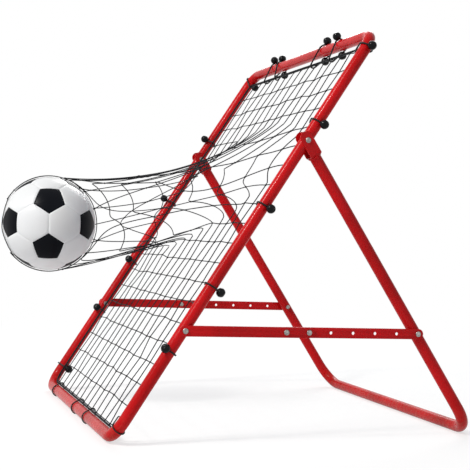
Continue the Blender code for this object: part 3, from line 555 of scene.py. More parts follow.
class NodeTree:
    """A short way to place and join shader nodes."""

    def __init__(self, tree: Tree) -> None:
        """Work on one node tree."""
        self.tree = tree

    def add(self, kind: str, **settings: object) -> bpy.types.Node:
        """Place a node.

        Args:
            kind: its type, without the ShaderNode in front.
            settings: its properties, and its inputs by name or as in_0, in_1.

        Returns:
            The node.
        """
        node = self.tree.nodes.new("ShaderNode" + kind)
        for key, value in settings.items():
            if key.startswith("in_"):
                self.feed(node.inputs[int(key[3:])], value)
            elif hasattr(node, key) and key not in node.inputs:
                setattr(node, key, value)
            else:
                self.feed(node.inputs[key], value)
        return node

    def feed(self, socket: Socket, value: object) -> None:
        """Join an output to a socket, or set the socket's own value.

        Args:
            socket: the input.
            value: an output, a number, or a colour or vector as a tuple.
        """
        if isinstance(value, Socket):
            self.tree.links.new(value, socket)
        elif isinstance(value, tuple) and socket.type == "RGBA":
            socket.default_value = (*value, 1.0)
        else:
            socket.default_value = value

    def math(self, operation: str, *values: object) -> Socket:
        """The output of a Math node with these inputs."""
        inputs = {f"in_{index}": value for index, value in enumerate(values)}
        return self.add("Math", operation=operation, **inputs).outputs[0]

    def blend(self, share: object, first: object, second: object) -> Socket:
        """A colour between two others."""
        return self.add("Mix", data_type="RGBA", in_0=share, in_6=first, in_7=second).outputs[2]

    def between(self, share: object, first: object, second: object) -> Socket:
        """A number between two others."""
        return self.add("Mix", data_type="FLOAT", in_0=share, in_2=first, in_3=second).outputs[0]

    def ramp(self, value: object, low: object, high: object) -> Socket:
        """A value that rises smoothly from 0 at low to 1 at high."""
        inputs = {"in_0": value, "in_1": low, "in_2": high, "in_3": 0.0, "in_4": 1.0}
        return self.add("MapRange", interpolation_type="SMOOTHSTEP", **inputs).outputs[0]

    def rays(self, *kinds: str) -> Socket:
        """Tell rays of some kinds from the rest.

        Args:
            kinds: the kinds, as the Light Path node names them.

        Returns:
            1 for a ray of one of these kinds, and 0 for any other.
        """
        path = self.add("LightPath").outputs
        seen = path[f"Is {kinds[0]} Ray"]
        for kind in kinds[1:]:
            seen = self.math("MAXIMUM", seen, path[f"Is {kind} Ray"])
        return seen


class SharedGroup(NodeTree):
    """A shader group of numbers, built once and placed in many materials."""

    def __init__(self, name: str, **inputs: float) -> None:
        """Start the group.

        Args:
            name: the group's name.
            inputs: its inputs and their usual values; an underscore stands for a space.
        """
        super().__init__(bpy.data.node_groups.new(name, "ShaderNodeTree"))
        for label, value in inputs.items():
            socket = self.tree.interface.new_socket(
                label.replace("_", " "), in_out="INPUT", socket_type="NodeSocketFloat")
            socket.default_value = value
        self.given = self.tree.nodes.new("NodeGroupInput").outputs
        self.position = self.add("TexCoord").outputs["Object"]

    def noise(self, scale: object, detail: float, rough: float = 0.5, over: Socket | None = None) -> Socket:
        """Noise over the object, or over another set of coordinates."""
        over = over or self.position
        return self.add("TexNoise", Vector=over, Scale=scale, Detail=detail, Roughness=rough).outputs[0]

    def give(self, **outputs: Socket) -> Tree:
        """Put values out of the group.

        Args:
            outputs: the group's outputs and what each of them gives.

        Returns:
            The finished group.
        """
        for label in outputs:
            self.tree.interface.new_socket(label, in_out="OUTPUT", socket_type="NodeSocketFloat")
        end = self.tree.nodes.new("NodeGroupOutput")
        for label, value in outputs.items():
            self.feed(end.inputs[label], value)
        return self.tree


def peel_group() -> Tree:
    """Fine ripple of a sprayed or moulded surface: a height and a slow variation.

    Returns:
        The group.
    """
    net = SharedGroup("surface_peel", Scale=900.0, Slow_Scale=14.0)
    fine = net.noise(net.given["Scale"], 3.0, 0.55)
    return net.give(Height=fine, Variation=net.noise(net.given["Slow Scale"], 2.0))


def scuff_group() -> Tree:
    """Scattered scuffs and hairline scratches, as a mask from 0 to 1.

    Returns:
        The group.
    """
    net = SharedGroup("handling_scuffs", Scale=60.0, Amount=0.3)
    drawn_out = net.add("Mapping", Vector=net.position, Scale=(1.0, 0.18, 0.35)).outputs[0]
    lines = net.ramp(net.noise(340.0, 2.0, over=drawn_out), 0.45, 0.75)
    marks = net.math("MULTIPLY", net.noise(net.given["Scale"], 6.0, 0.7), lines)
    edge = net.math("SUBTRACT", 0.72, net.math("MULTIPLY", net.given["Amount"], 0.35))
    return net.give(Mask=net.ramp(marks, net.math("SUBTRACT", edge, 0.30), edge))


def lay_group() -> Tree:
    """Strands that wind round a cord, from its own coordinates: a height, and a mask of painted shade in the
    grooves between strands.

    Returns:
        The group.
    """
    net = SharedGroup("cord_lay", Strands=3.0, Pitch=0.008, Cross=0.0)
    place = net.add("SeparateXYZ", Vector=net.add("UVMap", uv_map="cord").outputs[0]).outputs
    around = net.math("MULTIPLY", place[0], net.given["Strands"])
    along = net.math("DIVIDE", place[1], net.given["Pitch"])
    waves = []
    for way in ("ADD", "SUBTRACT"):
        turn = net.math("MULTIPLY", net.math(way, around, along), math.pi)
        waves.append(net.math("ABSOLUTE", net.math("SINE", turn)))
    height = net.between(net.given["Cross"], waves[0], net.math("MULTIPLY", *waves))
    # The second output is painted shade: 1 deep in a groove between strands, 0 on a strand's crown.
    return net.give(Height=height, Groove=net.math("SUBTRACT", 1.0, net.ramp(height, 0.0, 0.45)))


def pebble_group() -> Tree:
    """The small grain of a ball's skin: a height.

    Returns:
        The group.
    """
    net = SharedGroup("skin_pebble", Scale=700.0)
    cells = net.add("TexVoronoi", feature="SMOOTH_F1", Vector=net.position, Scale=net.given["Scale"])
    net.feed(cells.inputs["Smoothness"], 0.6)
    return net.give(Height=net.math("SUBTRACT", 1.0, cells.outputs[0]))


def dust_group() -> Tree:
    """Dust and soil that gather near the floor, as a mask from 0 to 1.

    Returns:
        The group.
    """
    net = SharedGroup("floor_dust", Height=0.06, Amount=0.5)
    rise = net.math("DIVIDE", net.add("SeparateXYZ", Vector=net.position).outputs[2], net.given["Height"])
    fade = net.math("SUBTRACT", 1.0, net.math("MINIMUM", rise, 1.0))
    specks = net.ramp(net.noise(95.0, 8.0, 0.75), 0.42, 0.68)
    return net.give(Mask=net.math("MULTIPLY", net.math("MULTIPLY", fade, specks), net.given["Amount"]))


class SharedGroups:
    """The shader groups that more than one finish uses."""

    def __init__(self) -> None:
        """Build each group once."""
        self.peel = peel_group()
        self.scuff = scuff_group()
        self.lay = lay_group()
        self.pebble = pebble_group()
        self.dust = dust_group()


@dataclass(frozen=True)
class Finish:
    """What every finish has: a name, a colour and a roughness."""

    name: str
    colour: Colour
    roughness: float


class Surface(NodeTree):
    """A material being made, with its tone and roughness so far."""

    def __init__(self, finish: Finish) -> None:
        """Start a material.

        Args:
            finish: what it is made for.
        """
        self.material = bpy.data.materials.new(finish.name)
        self.material.use_nodes = True
        super().__init__(self.material.node_tree)
        self.shader = self.tree.nodes["Principled BSDF"]
        self.shader.inputs["Base Color"].default_value = (*finish.colour, 1.0)
        self.tone: object = finish.colour
        self.rough: object = finish.roughness

    def place(self, group: Tree, **values: float) -> dict[str, Socket]:
        """Place a shared group.

        Args:
            group: the group.
            values: its inputs; an underscore stands for a space.

        Returns:
            Its outputs by name.
        """
        node = self.tree.nodes.new("ShaderNodeGroup")
        node.node_tree = group
        for key, value in values.items():
            node.inputs[key.replace("_", " ")].default_value = value
        return dict(node.outputs.items())

    def tint(self, mask: Socket, colour: Colour, share: float = 1.0) -> None:
        """Lay a colour over the tone where a mask says.

        Args:
            mask: where, from 0 to 1.
            colour: the colour.
            share: how much of it shows at 1.
        """
        if share != 1.0:
            mask = self.math("MULTIPLY", mask, share)
        self.tone = self.blend(mask, self.tone, colour)

    def dull(self, mask: Socket, amount: float) -> None:
        """Add to the roughness where a mask says."""
        self.rough = self.math("ADD", self.rough, self.math("MULTIPLY", mask, amount))

    def close(self, height: Socket, distance: float, strength: float, **constants: object) -> Material:
        """Join everything to the shader.

        Args:
            height: the relief.
            distance: how high the relief is.
            strength: how much of it shows.
            constants: values set on the shader itself; an underscore stands for a space.

        Returns:
            The finished material.
        """
        bump = self.add("Bump", Height=height, Distance=distance, Strength=strength)
        constants.update(Base_Color=self.tone, Roughness=self.rough, Normal=bump.outputs[0])
        for key, value in constants.items():
            self.feed(self.shader.inputs[key.replace("_", " ")], value)
        return self.material


@dataclass(frozen=True)
class PowderCoat(Finish):
    """Glossy red powder coat on steel, scuffed a little and dusty near the floor."""

    deep: Colour = (0.45, 0.004, 0.005)
    soil: Colour = (0.30, 0.14, 0.08)
    scuffed: Colour = (0.60, 0.05, 0.04)

    def build(self, shared: SharedGroups) -> Material:
        """Make the material.

        Args:
            shared: the groups that it takes from.

        Returns:
            The material.
        """
        made = Surface(self)
        peel = made.place(shared.peel, Scale=900.0, Slow_Scale=9.0)
        scuff = made.place(shared.scuff, Scale=55.0, Amount=0.12)["Mask"]
        dust = made.place(shared.dust, Height=0.07, Amount=0.35)["Mask"]
        made.tint(made.ramp(peel["Variation"], 0.35, 0.75), self.deep)
        made.tint(scuff, self.scuffed, 0.20)
        made.tint(dust, self.soil)
        made.dull(scuff, 0.08)
        made.dull(dust, 0.35)
        return made.close(peel["Height"], 0.00002, 0.03, Specular_IOR_Level=0.08,
                          Coat_Weight=0.05, Coat_Roughness=0.08)


@dataclass(frozen=True)
class ZincPlate(Finish):
    """Bright zinc on bolts and nuts, a little cloudy."""

    clouded: Colour = (0.20, 0.19, 0.18)

    def build(self, shared: SharedGroups) -> Material:
        """Make the material.

        Args:
            shared: the groups that it takes from.

        Returns:
            The material.
        """
        made = Surface(self)
        peel = made.place(shared.peel, Scale=1500.0, Slow_Scale=240.0)
        made.tint(made.ramp(peel["Variation"], 0.35, 0.70), self.clouded)
        made.dull(made.place(shared.scuff, Scale=320.0, Amount=0.5)["Mask"], 0.25)
        return made.close(peel["Height"], 0.00004, 0.5, Metallic=1.0)


@dataclass(frozen=True)
class Cord(Finish):
    """Twisted or braided cord: its strands, their pitch and their depth, with painted shade in the grooves
    between strands.
    """

    # groove is the colour of painted shade in the grooves between strands
    groove: Colour
    strands: float
    pitch: float
    cross: float
    depth: float

    def build(self, shared: SharedGroups) -> Material:
        """Make the material.

        Args:
            shared: the groups that it takes from.

        Returns:
            The material.
        """
        made = Surface(self)
        lay = made.place(shared.lay, Strands=self.strands, Pitch=self.pitch, Cross=self.cross)
        peel = made.place(shared.peel, Scale=2600.0, Slow_Scale=60.0)
        faded = tuple(min(1.0, 1.8 * channel + 0.001) for channel in self.colour)
        # painted shade: the grooves between strands are darkened towards the groove colour
        made.tint(lay["Groove"], self.groove)
        made.tint(made.ramp(peel["Variation"], 0.50, 0.80), faded, 0.6)
        height = made.math("ADD", lay["Height"], made.math("MULTIPLY", peel["Height"], 0.15))
        return made.close(height, self.depth, 1.0, Specular_IOR_Level=0.20)


@dataclass(frozen=True)
class Moulded(Finish):
    """Glossy black moulded plastic or rubber, with faint scuffs."""

    scuffed: Colour = (0.018, 0.018, 0.020)

    def build(self, shared: SharedGroups) -> Material:
        """Make the material.

        Args:
            shared: the groups that it takes from.

        Returns:
            The material.
        """
        made = Surface(self)
        peel = made.place(shared.peel, Scale=1200.0, Slow_Scale=90.0)
        scuff = made.place(shared.scuff, Scale=180.0, Amount=0.45)["Mask"]
        made.tint(scuff, self.scuffed)
        made.dull(scuff, 0.3)
        return made.close(peel["Height"], 0.00005, 0.3, Specular_IOR_Level=0.12)


@dataclass(frozen=True)
class BallSkin(Finish):
    """Semi-gloss synthetic leather with a fine grain and grass-worn marks."""

    worn: Colour
    shine: float
    grain: float = 0.00007

    def build(self, shared: SharedGroups) -> Material:
        """Make the material.

        Args:
            shared: the groups that it takes from.

        Returns:
            The material.
        """
        made = Surface(self)
        pebble = made.place(shared.pebble, Scale=620.0)
        scuff = made.place(shared.scuff, Scale=24.0, Amount=0.2)["Mask"]
        peel = made.place(shared.peel, Scale=240.0, Slow_Scale=11.0)
        slow = made.math("MULTIPLY", made.ramp(peel["Variation"], 0.45, 0.75), 0.30)
        made.tint(made.math("MAXIMUM", made.math("MULTIPLY", scuff, 0.35), slow), self.worn)
        made.dull(scuff, 0.18)
        return made.close(pebble["Height"], self.grain, 0.6, Specular_IOR_Level=self.shine,
                          Coat_Weight=self.shine * 0.25, Coat_Roughness=0.18)


class Finishes:
    """Every material of the object."""

    def __init__(self) -> None:
        """Build the shared groups once and every material from them."""
        shared = SharedGroups()
        black = (0.0050, 0.0058, 0.0085)
        # groove is painted shade for the grooves between strands of every cord
        groove = (0.0012, 0.0014, 0.0020)
        self.red = PowderCoat("red_powder_coat", (0.60, 0.0065, 0.009), 0.24).build(shared)
        self.zinc = ZincPlate("zinc_plate", (0.36, 0.35, 0.33), 0.30).build(shared)
        self.twine = Cord("net_twine", black, 0.66, groove, 2.0, 0.009, 0.0, 0.0003).build(shared)
        self.rope = Cord("edge_rope", black, 0.58, groove, 4.0, 0.006, 0.0, 0.0002).build(shared)
        braid = Cord("elastic_cord", (0.012, 0.011, 0.011), 0.55, groove, 8.0, 0.0035, 1.0, 0.00018)
        self.elastic = braid.build(shared)
        self.knob = Moulded("moulded_knob", (0.0035, 0.0040, 0.0050), 0.14).build(shared)
        white = BallSkin("white_ball_skin", (0.80, 0.81, 0.82), 0.32, (0.66, 0.66, 0.62), 0.30)
        self.white_skin = white.build(shared)
        dark = BallSkin("black_ball_skin", (0.0030, 0.0036, 0.0060), 0.30, (0.009, 0.010, 0.014), 0.06)
        self.black_skin = dark.build(shared)
        self.butyl = Moulded("butyl_rubber", (0.020, 0.020, 0.021), 0.55).build(shared)


@dataclass
class SteelTubes:
    """The three bent tubes of the frame and the leg."""

    finishes: Finishes
    sides: int = 36
    bend_steps: int = 14
    ovality: float = 0.035
    swage_length: float = 0.060
    swage_taper: float = 0.003
    shoulder_at: float = 0.3
    shoulder_size: float = 0.95
    seam_above_hinge: float = 0.009
    bore_depth: float = 0.030
    sharp: float = 50.0

    def u_path(self, end: float, foot: float, bend: float) -> list[tuple[float, float, float]]:
        """A U in a plane.

        Args:
            end: where both arms start.
            foot: where the cross run lies.
            bend: the radius of both bends.

        Returns:
            Points as (across, along, how far into a bend from 0 to 1).
        """
        half = PLAN.width / 2
        sign = 1.0 if foot < end else -1.0
        turn = []
        for step in range(self.bend_steps + 1):
            angle = QUARTER * step / self.bend_steps
            place = foot + sign * (bend - bend * math.sin(angle))
            turn.append((half - bend + bend * math.cos(angle), place, math.sin(2 * angle)))
        return [(half, end, 0.0), *turn, *((-a, b, c) for a, b, c in reversed(turn)), (-half, end, 0.0)]

    def skin(self, path: Sequence[tuple[Vector, float, float]], normal: Vector, bored: bool) -> Draft:
        """Sweep a tube, a little oval in its bends.

        Args:
            path: points with the tube's radius and the share of a bend at each.
            normal: the normal of the plane that the tube lies in.
            bored: whether the bore shows at both ends.

        Returns:
            The tube's faces.
        """
        points = [item[0] for item in path]
        frames = across_line(points, normal, False)
        marks = polyline_lengths(points, False)
        rings = []
        for (point, radius, share), frame in zip(path, frames):
            flat = 1.0 - self.ovality * share
            rings.append(ring_points(point, frame, (radius * flat, radius * (2.0 - flat)), self.sides))
        if bored:
            runs = tangents(points, False)
            bores = []
            for index, sign in ((0, 1.0), (-1, -1.0)):
                radius = path[index][1] - PLAN.tube_wall
                deep = points[index] + runs[index] * sign * self.bore_depth
                bores.append([ring_points(at, frames[index], (radius, radius), self.sides)
                              for at in (points[index], deep)])
            rings = bores[0][::-1] + rings + bores[1]
            marks = [marks[0]] * 2 + marks + [marks[-1]] * 2
        draft = Draft()
        draft.grid(rings, False, marks)
        return draft

    def build(self) -> None:
        """Make the lower and upper frame tubes and the leg tube."""
        radius = PLAN.tube_radius
        half = PLAN.width / 2
        seam = PLAN.hinge_along + self.seam_above_hinge
        start = seam + PLAN.fit
        thin = radius * (PLAN.flat - PLAN.tube_wall - PLAN.fit) / PLAN.flat
        shoulder = (half, start + self.shoulder_at * self.swage_taper, self.shoulder_size * radius)
        tail = [(half, start - self.swage_length, thin), (half, start, thin), shoulder]
        arms = self.u_path(start + self.swage_taper, PLAN.length, PLAN.front_bend)
        upper = [(PLAN.frame_point(a, b), c, 0.0) for a, b, c in tail]
        upper += [(PLAN.frame_point(a, b), radius, c) for a, b, c in arms]
        upper += [(PLAN.frame_point(-a, b), c, 0.0) for a, b, c in reversed(tail)]
        lower = [(PLAN.frame_point(a, b), radius, c) for a, b, c in self.u_path(seam, 0.0, PLAN.front_bend)]
        top = PLAN.fork_reach + PLAN.fork_plate + PLAN.fit
        length = (PLAN.rear_foot - PLAN.hinge).length
        leg = [(PLAN.leg_point(a, b), radius, c) for a, b, c in self.u_path(top, length, PLAN.rear_bend)]
        for node, path, normal, body in (("lower_frame_tube", lower, PLAN.outward, Body.FRAME),
                                         ("upper_frame_tube", upper, PLAN.outward, Body.FRAME),
                                         ("rear_leg_tube", leg, PLAN.leg_back, Body.LEG)):
            draft = self.skin(path, normal, body is Body.FRAME)
            piece = draft.finish(f"{node}_dressed", self.finishes.red, self.sharp)
            settle(piece, body.value, "red_paint", node)


@dataclass
class HingeForks:
    """The pressed brackets on the leg's ends, with their weld beads."""

    finishes: Finishes
    corner: float = 0.0030
    edge: float = 0.0006
    nose_tip: float = 0.00001
    nose_clear: float = 0.001
    nose_steps: int = 6
    ear_steps: int = 18
    corner_steps: int = 6
    web_steps: int = 4
    bead_radius: float = 0.0021
    bead_sides: int = 8
    bead_step: float = 0.001
    bead_ripples: int = 22
    ripple: float = 0.16
    bead_down: float = 0.0008
    bead_out: float = 0.0002
    bead_sharp: float = 80.0
    sharp: float = 35.0

    def strip_path(self) -> list[Pair]:
        """The middle line of the bent strip, from one nose to the other.

        Returns:
            Points as (across the tube, down the leg).
        """
        middle = (PLAN.beside + PLAN.fork_outer) / 2
        web = PLAN.fork_reach + PLAN.fork_plate / 2
        nose = -PLAN.fork_tail
        ear = [(middle, nose + (web - self.corner - nose) * step / self.ear_steps)
               for step in range(self.ear_steps + 1)]
        centre = (middle - self.corner, web - self.corner)
        bend = arc(centre, self.corner, 0.0, QUARTER, self.corner_steps)[1:]
        flat = [((middle - self.corner) * (1 - step / self.web_steps), web)
                for step in range(1, self.web_steps + 1)]
        half = ear + bend + flat
        return half + [(-a, b) for a, b in reversed(half[:-1])]

    def bracket(self, side: Side) -> Piece:
        """One bracket, as a bent strip of sheet with rounded edges and noses.

        Args:
            side: the side that it is on.

        Returns:
            The piece.
        """
        path = self.strip_path()
        turns = [math.cos(QUARTER * step / self.nose_steps) for step in range(self.nose_steps)]
        noses = [(path[0][0], -PLAN.fork_tail + PLAN.fork_half * (1 - turn)) for turn in turns]
        inner = [item for item in path if item[1] > noses[-1][1] + self.nose_clear]
        line = [Vector((a, b, 0.0)) for a, b in noses + inner + [(-a, b) for a, b in reversed(noses)]]
        half = PLAN.fork_plate / 2
        rings = []
        for point, frame in zip(line, across_line(line, UP, False)):
            past = max(0.0, PLAN.fork_half - PLAN.fork_tail - point.y)
            high = max(math.sqrt(max(0.0, PLAN.fork_half**2 - past**2)), self.nose_tip)
            inset = min(self.edge, high * 0.5)
            ring = []
            for u, v in ((1, 1), (-1, 1), (-1, -1), (1, -1)):
                for du, dv in ((inset, 0.0), (0.0, inset)) if u * v < 0 else ((0.0, inset), (inset, 0.0)):
                    place = point + frame[0] * u * (half - du)
                    across = side.value * PLAN.width / 2 + place.x
                    ring.append(PLAN.leg_point(across, place.y, v * (high - dv)))
            rings.append(ring)
        draft = Draft()
        draft.grid(rings, False, polyline_lengths(line, False))
        return draft.finish(f"{side.label}_hinge_fork_dressed", self.finishes.red, self.sharp)

    def bead(self, side: Side) -> Piece:
        """The rippled fillet weld between bracket and leg tube.

        Args:
            side: the side that it is on.

        Returns:
            The piece.
        """
        down = PLAN.fork_reach + PLAN.fork_plate + self.bead_down
        centre = PLAN.leg_point(side.value * PLAN.width / 2, down)
        rings = []
        steps = self.bead_ripples * 4
        for step in range(steps):
            angle = FULL * step / steps
            away = Vector((math.cos(angle), 0.0, 0.0)) + PLAN.leg_back * math.sin(angle)
            size = self.bead_radius * (1.0 + self.ripple * math.cos(self.bead_ripples * angle))
            middle = centre + away * (PLAN.tube_radius + self.bead_out)
            rings.append(ring_points(middle, (away, PLAN.leg_down), (size, size), self.bead_sides))
        draft = Draft()
        draft.grid(rings, True, [self.bead_step * step for step in range(steps)])
        return draft.finish(f"{side.label}_fork_weld", self.finishes.red, self.bead_sharp)

    def build(self) -> None:
        """Make both brackets and both welds."""
        for side in Side:
            settle(self.bracket(side), Body.LEG.value, "red_paint", f"{side.label}_hinge_fork")
            settle(self.bead(side), Body.LEG.value, "red_paint")


@dataclass
class StrutBars:
    """The flat bars of the side struts, with their row of holes."""

    finishes: Finishes
    edge: float = 0.0005
    hole_radius: float = 0.0033
    end_steps: int = 14
    hole_steps: int = 24
    weld: float = 0.000002
    sharp: float = 30.0

    def bar(self, name: str, holes: Sequence[float], place: Matrix) -> Piece:
        """One bar with softened edges.

        Args:
            name: the piece's name.
            holes: where the holes are, from the pivot hole at 0 to the last.
            place: puts the bar's own axes in the model's.

        Returns:
            The piece.
        """
        half = PLAN.bar_height / 2
        reach = half - self.edge
        left = arc((half - PLAN.bar_margin, 0.0), reach, QUARTER, 3 * QUARTER, self.end_steps)
        right = arc((holes[-1] + PLAN.bar_margin - half, 0.0), reach, -QUARTER, QUARTER, self.end_steps)
        hole = self.hole_radius + self.edge
        curve = bpy.data.curves.new(name, "CURVE")
        curve.dimensions = "2D"
        curve.fill_mode = "BOTH"
        curve.extrude = PLAN.bar_thickness / 2 - self.edge
        curve.bevel_depth = self.edge
        curve.bevel_resolution = 2
        for ring in [left + right] + [arc((at, 0.0), hole, 0.0, -FULL, self.hole_steps)[:-1] for at in holes]:
            line = curve.splines.new("POLY")
            line.points.add(len(ring) - 1)
            line.use_cyclic_u = True
            for point, (a, b) in zip(line.points, ring):
                point.co = (a, b, 0.0, 1.0)
        holder = new_item(name + "_curve", curve)
        bpy.context.view_layer.update()
        graph = bpy.context.evaluated_depsgraph_get()
        mesh = bpy.data.meshes.new_from_object(holder.evaluated_get(graph))
        bpy.data.objects.remove(holder)
        mesh.transform(place)
        return link_piece(name, mesh, self.finishes.red, self.sharp, self.weld)

    def build(self) -> None:
        """Make the four bars: local X along each, local Z across the frame."""
        front = [0.0, PLAN.first_clamp, PLAN.first_clamp + PLAN.hole_pitch]
        rear = [step * PLAN.hole_pitch for step in range(PLAN.rear_bar_pitches + 1)]
        half = PLAN.width / 2 + PLAN.bar_thickness / 2
        for side in Side:
            for end, start, toward, face, holes in (
                ("front", PLAN.front_pivot, PLAN.rear_pivot, PLAN.front_bar_face, front),
                ("rear", PLAN.rear_pivot, PLAN.front_pivot, PLAN.beside, rear),
            ):
                node = f"{side.label}_{end}_bar"
                run = (toward - start).normalized()
                turn = Matrix(((0.0, 0.0, 1.0), (run.y, -run.z, 0.0), (run.z, run.y, 0.0))).to_4x4()
                place = Matrix.Translation((side.value * (half + face), start.y, start.z)) @ turn
                piece = self.bar(f"{node}_dressed", holes, place)
                settle(piece, f"{side.label}_{end}_strut", "red_paint", node)


@dataclass
class Fasteners:
    """Domed bolts, hex nuts and spacers in bright zinc."""

    finishes: Finishes
    across_flats: float = 0.010
    face_share: float = 0.96
    chamfer: float = math.radians(30.0)
    head_radius: float = 0.006
    head_rim: float = 0.0007
    head_edge: Pair = (0.0002, 0.0003)
    dome_steps: int = 7
    bolt_radius: float = 0.0029
    bore_radius: float = 0.0033
    shank_into_head: float = 0.0008
    thread_length: float = 0.012
    thread_depth: float = 0.00025
    thread_pitch: float = 0.0010
    thread_overlap: float = 0.0002
    tip_length: float = 0.0003
    tip_shares: Pair = (0.80, 0.86)
    tip_in_nut: float = 0.001
    spacer_radius: float = 0.008
    spacer_edge: float = 0.0003
    samples: int = 48
    sharp: float = 32.0

    def turned(self, draft: Draft, rings: Sequence[tuple[Level, Level]], place: Matrix) -> None:
        """Skin rings round an axis.

        Args:
            draft: what they are added to.
            rings: each ring's radius and height, as numbers or functions of the direction.
            place: puts them in the model's axes.
        """
        made = []
        for ring in rings:
            points = []
            for step in range(self.samples):
                angle = FULL * step / self.samples
                reach, height = (level(angle) if callable(level) else level for level in ring)
                points.append(place @ Vector((reach * math.cos(angle), reach * math.sin(angle), height)))
            made.append(points)
        draft.grid(made, False, [0.0] * len(made))

    def threaded(self, draft: Draft, low: float, high: float, place: Matrix) -> None:
        """A threaded end that tapers at its tip.

        Args:
            draft: what it is added to.
            low: the height of the tip.
            high: the height where the thread ends.
            place: puts it in the model's axes.
        """
        count = max(4, int((high - low) / self.thread_pitch * 4))

        def ridge(share: float, size: float) -> Callable[[float], float]:
            """The radius of one ring, with a ridge that winds round.

            Args:
                share: how far along the thread the ring is.
                size: the ring's size against the bolt's.

            Returns:
                The radius in each direction.
            """
            phase = (share * (high - low)) / self.thread_pitch * FULL
            full = self.bolt_radius * size
            return lambda angle: full - self.thread_depth * (0.5 - 0.5 * math.cos(phase + angle))

        rings: list[tuple[Level, Level]] = [(self.bolt_radius * self.tip_shares[0], low)]
        for step in range(count + 1):
            share = step / count
            height = low + self.tip_length + share * (high - low - self.tip_length)
            rings.append((ridge(share, 1.0 if step else self.tip_shares[1]), height))
        self.turned(draft, rings, place)

    def bolt(self, name: str, place: Matrix, end: float, threads: float) -> Piece:
        """A bolt whose domed head stands on local z = 0.

        Args:
            name: the piece's name.
            place: puts it in the model's axes.
            end: the height of the shank's end, below 0.
            threads: the length of thread at that end.

        Returns:
            The piece.
        """
        draft = Draft()
        rings: list[tuple[Level, Level]] = [(self.head_radius - self.head_edge[0], 0.0),
                                            (self.head_radius, self.head_edge[1])]
        for step in range(self.dome_steps):
            turn = step / self.dome_steps * QUARTER
            rise = (PLAN.head_height - self.head_rim) * math.sin(turn)
            rings.append((self.head_radius * math.cos(turn), self.head_rim + rise))
        self.turned(draft, rings, place)
        smooth = end + threads
        self.turned(draft, [(self.bolt_radius, smooth), (self.bolt_radius, self.shank_into_head)], place)
        if threads > 0.0:
            self.threaded(draft, end, smooth + self.thread_overlap, place)
        return draft.finish(name, self.finishes.zinc, self.sharp)

    def nut(self, name: str, place: Matrix, tip: bool) -> Piece:
        """A hexagon nut below local z = 0, whose corners are turned off by a cone.

        Args:
            name: the piece's name.
            place: puts it in the model's axes.
            tip: whether a bolt's tip is part of it, as in a clamp nut.

        Returns:
            The piece.
        """
        face = self.across_flats / 2 * self.face_share
        low = -PLAN.nut_height

        def reach(angle: float) -> float:
            """The hexagon's radius in a direction."""
            return self.across_flats / 2 / math.cos((angle + math.pi / 6) % (math.pi / 3) - math.pi / 6)

        def drop(angle: float) -> float:
            """How far the cone cuts down the corner in a direction."""
            return max(0.0, reach(angle) - face) * math.tan(self.chamfer)

        draft = Draft()
        sides = [(reach, lambda angle: low + drop(angle)), (reach, lambda angle: -drop(angle))]
        self.turned(draft, [(face, low), *sides, (face, 0.0)], place)
        if tip:
            self.threaded(draft, low - PLAN.bolt_past_nut, low + self.tip_in_nut, place)
        return draft.finish(name, self.finishes.zinc, self.sharp)

    def spacer(self, name: str, place: Matrix) -> Piece:
        """The washer that fills the rear bar's place at the front bolt.

        Args:
            name: the piece's name.
            place: puts it in the model's axes.

        Returns:
            The piece.
        """
        draft = Draft()
        soft = self.spacer_edge
        half = [(self.bore_radius, 0.0), (self.spacer_radius - soft, 0.0), (self.spacer_radius, soft)]
        top = [(radius, PLAN.bar_thickness - height) for radius, height in reversed(half)]
        self.turned(draft, half + top, place)
        return draft.finish(name, self.finishes.zinc, self.sharp)

    def place(self, side: Side, across: float, at: Vector, roll: float = 0.0) -> Matrix:
        """Local Z outward on a side.

        Args:
            side: the side.
            across: the distance from the plane of the side's tubes.
            at: the place along and up.
            roll: the turn about Z.

        Returns:
            The turn and the move.
        """
        turn = Matrix.Rotation(side.value * QUARTER, 4, "Y") @ Matrix.Rotation(roll, 4, "Z")
        return Matrix.Translation((side.value * (PLAN.width / 2 + across), at.y, at.z)) @ turn

    def pair(self, names: tuple[str, str], side: Side, at: Vector, faces: Pair, body: str,
             rolls: random.Random, clamp: bool = False) -> None:
        """A bolt and its nut.

        Args:
            names: the bolt's node and the nut's.
            side: the side that they are on.
            at: their place along and up.
            faces: how far out the head and the nut bear.
            body: the body that carries them.
            rolls: how they happen to be turned.
            clamp: whether the shank is parted in the rear bar, with its tip left in the nut.
        """
        head, bear = faces
        last = PLAN.front_bar_face if clamp else bear - PLAN.nut_height - PLAN.bolt_past_nut
        spot = self.place(side, head, at, rolls.uniform(0, 1))
        piece = self.bolt(f"{names[0]}_dressed", spot, last - head, 0.0 if clamp else self.thread_length)
        settle(piece, body, "zinc", names[0])
        piece = self.nut(f"{names[1]}_dressed", self.place(side, bear, at, rolls.uniform(0, 1)), clamp)
        settle(piece, body, "zinc", names[1])

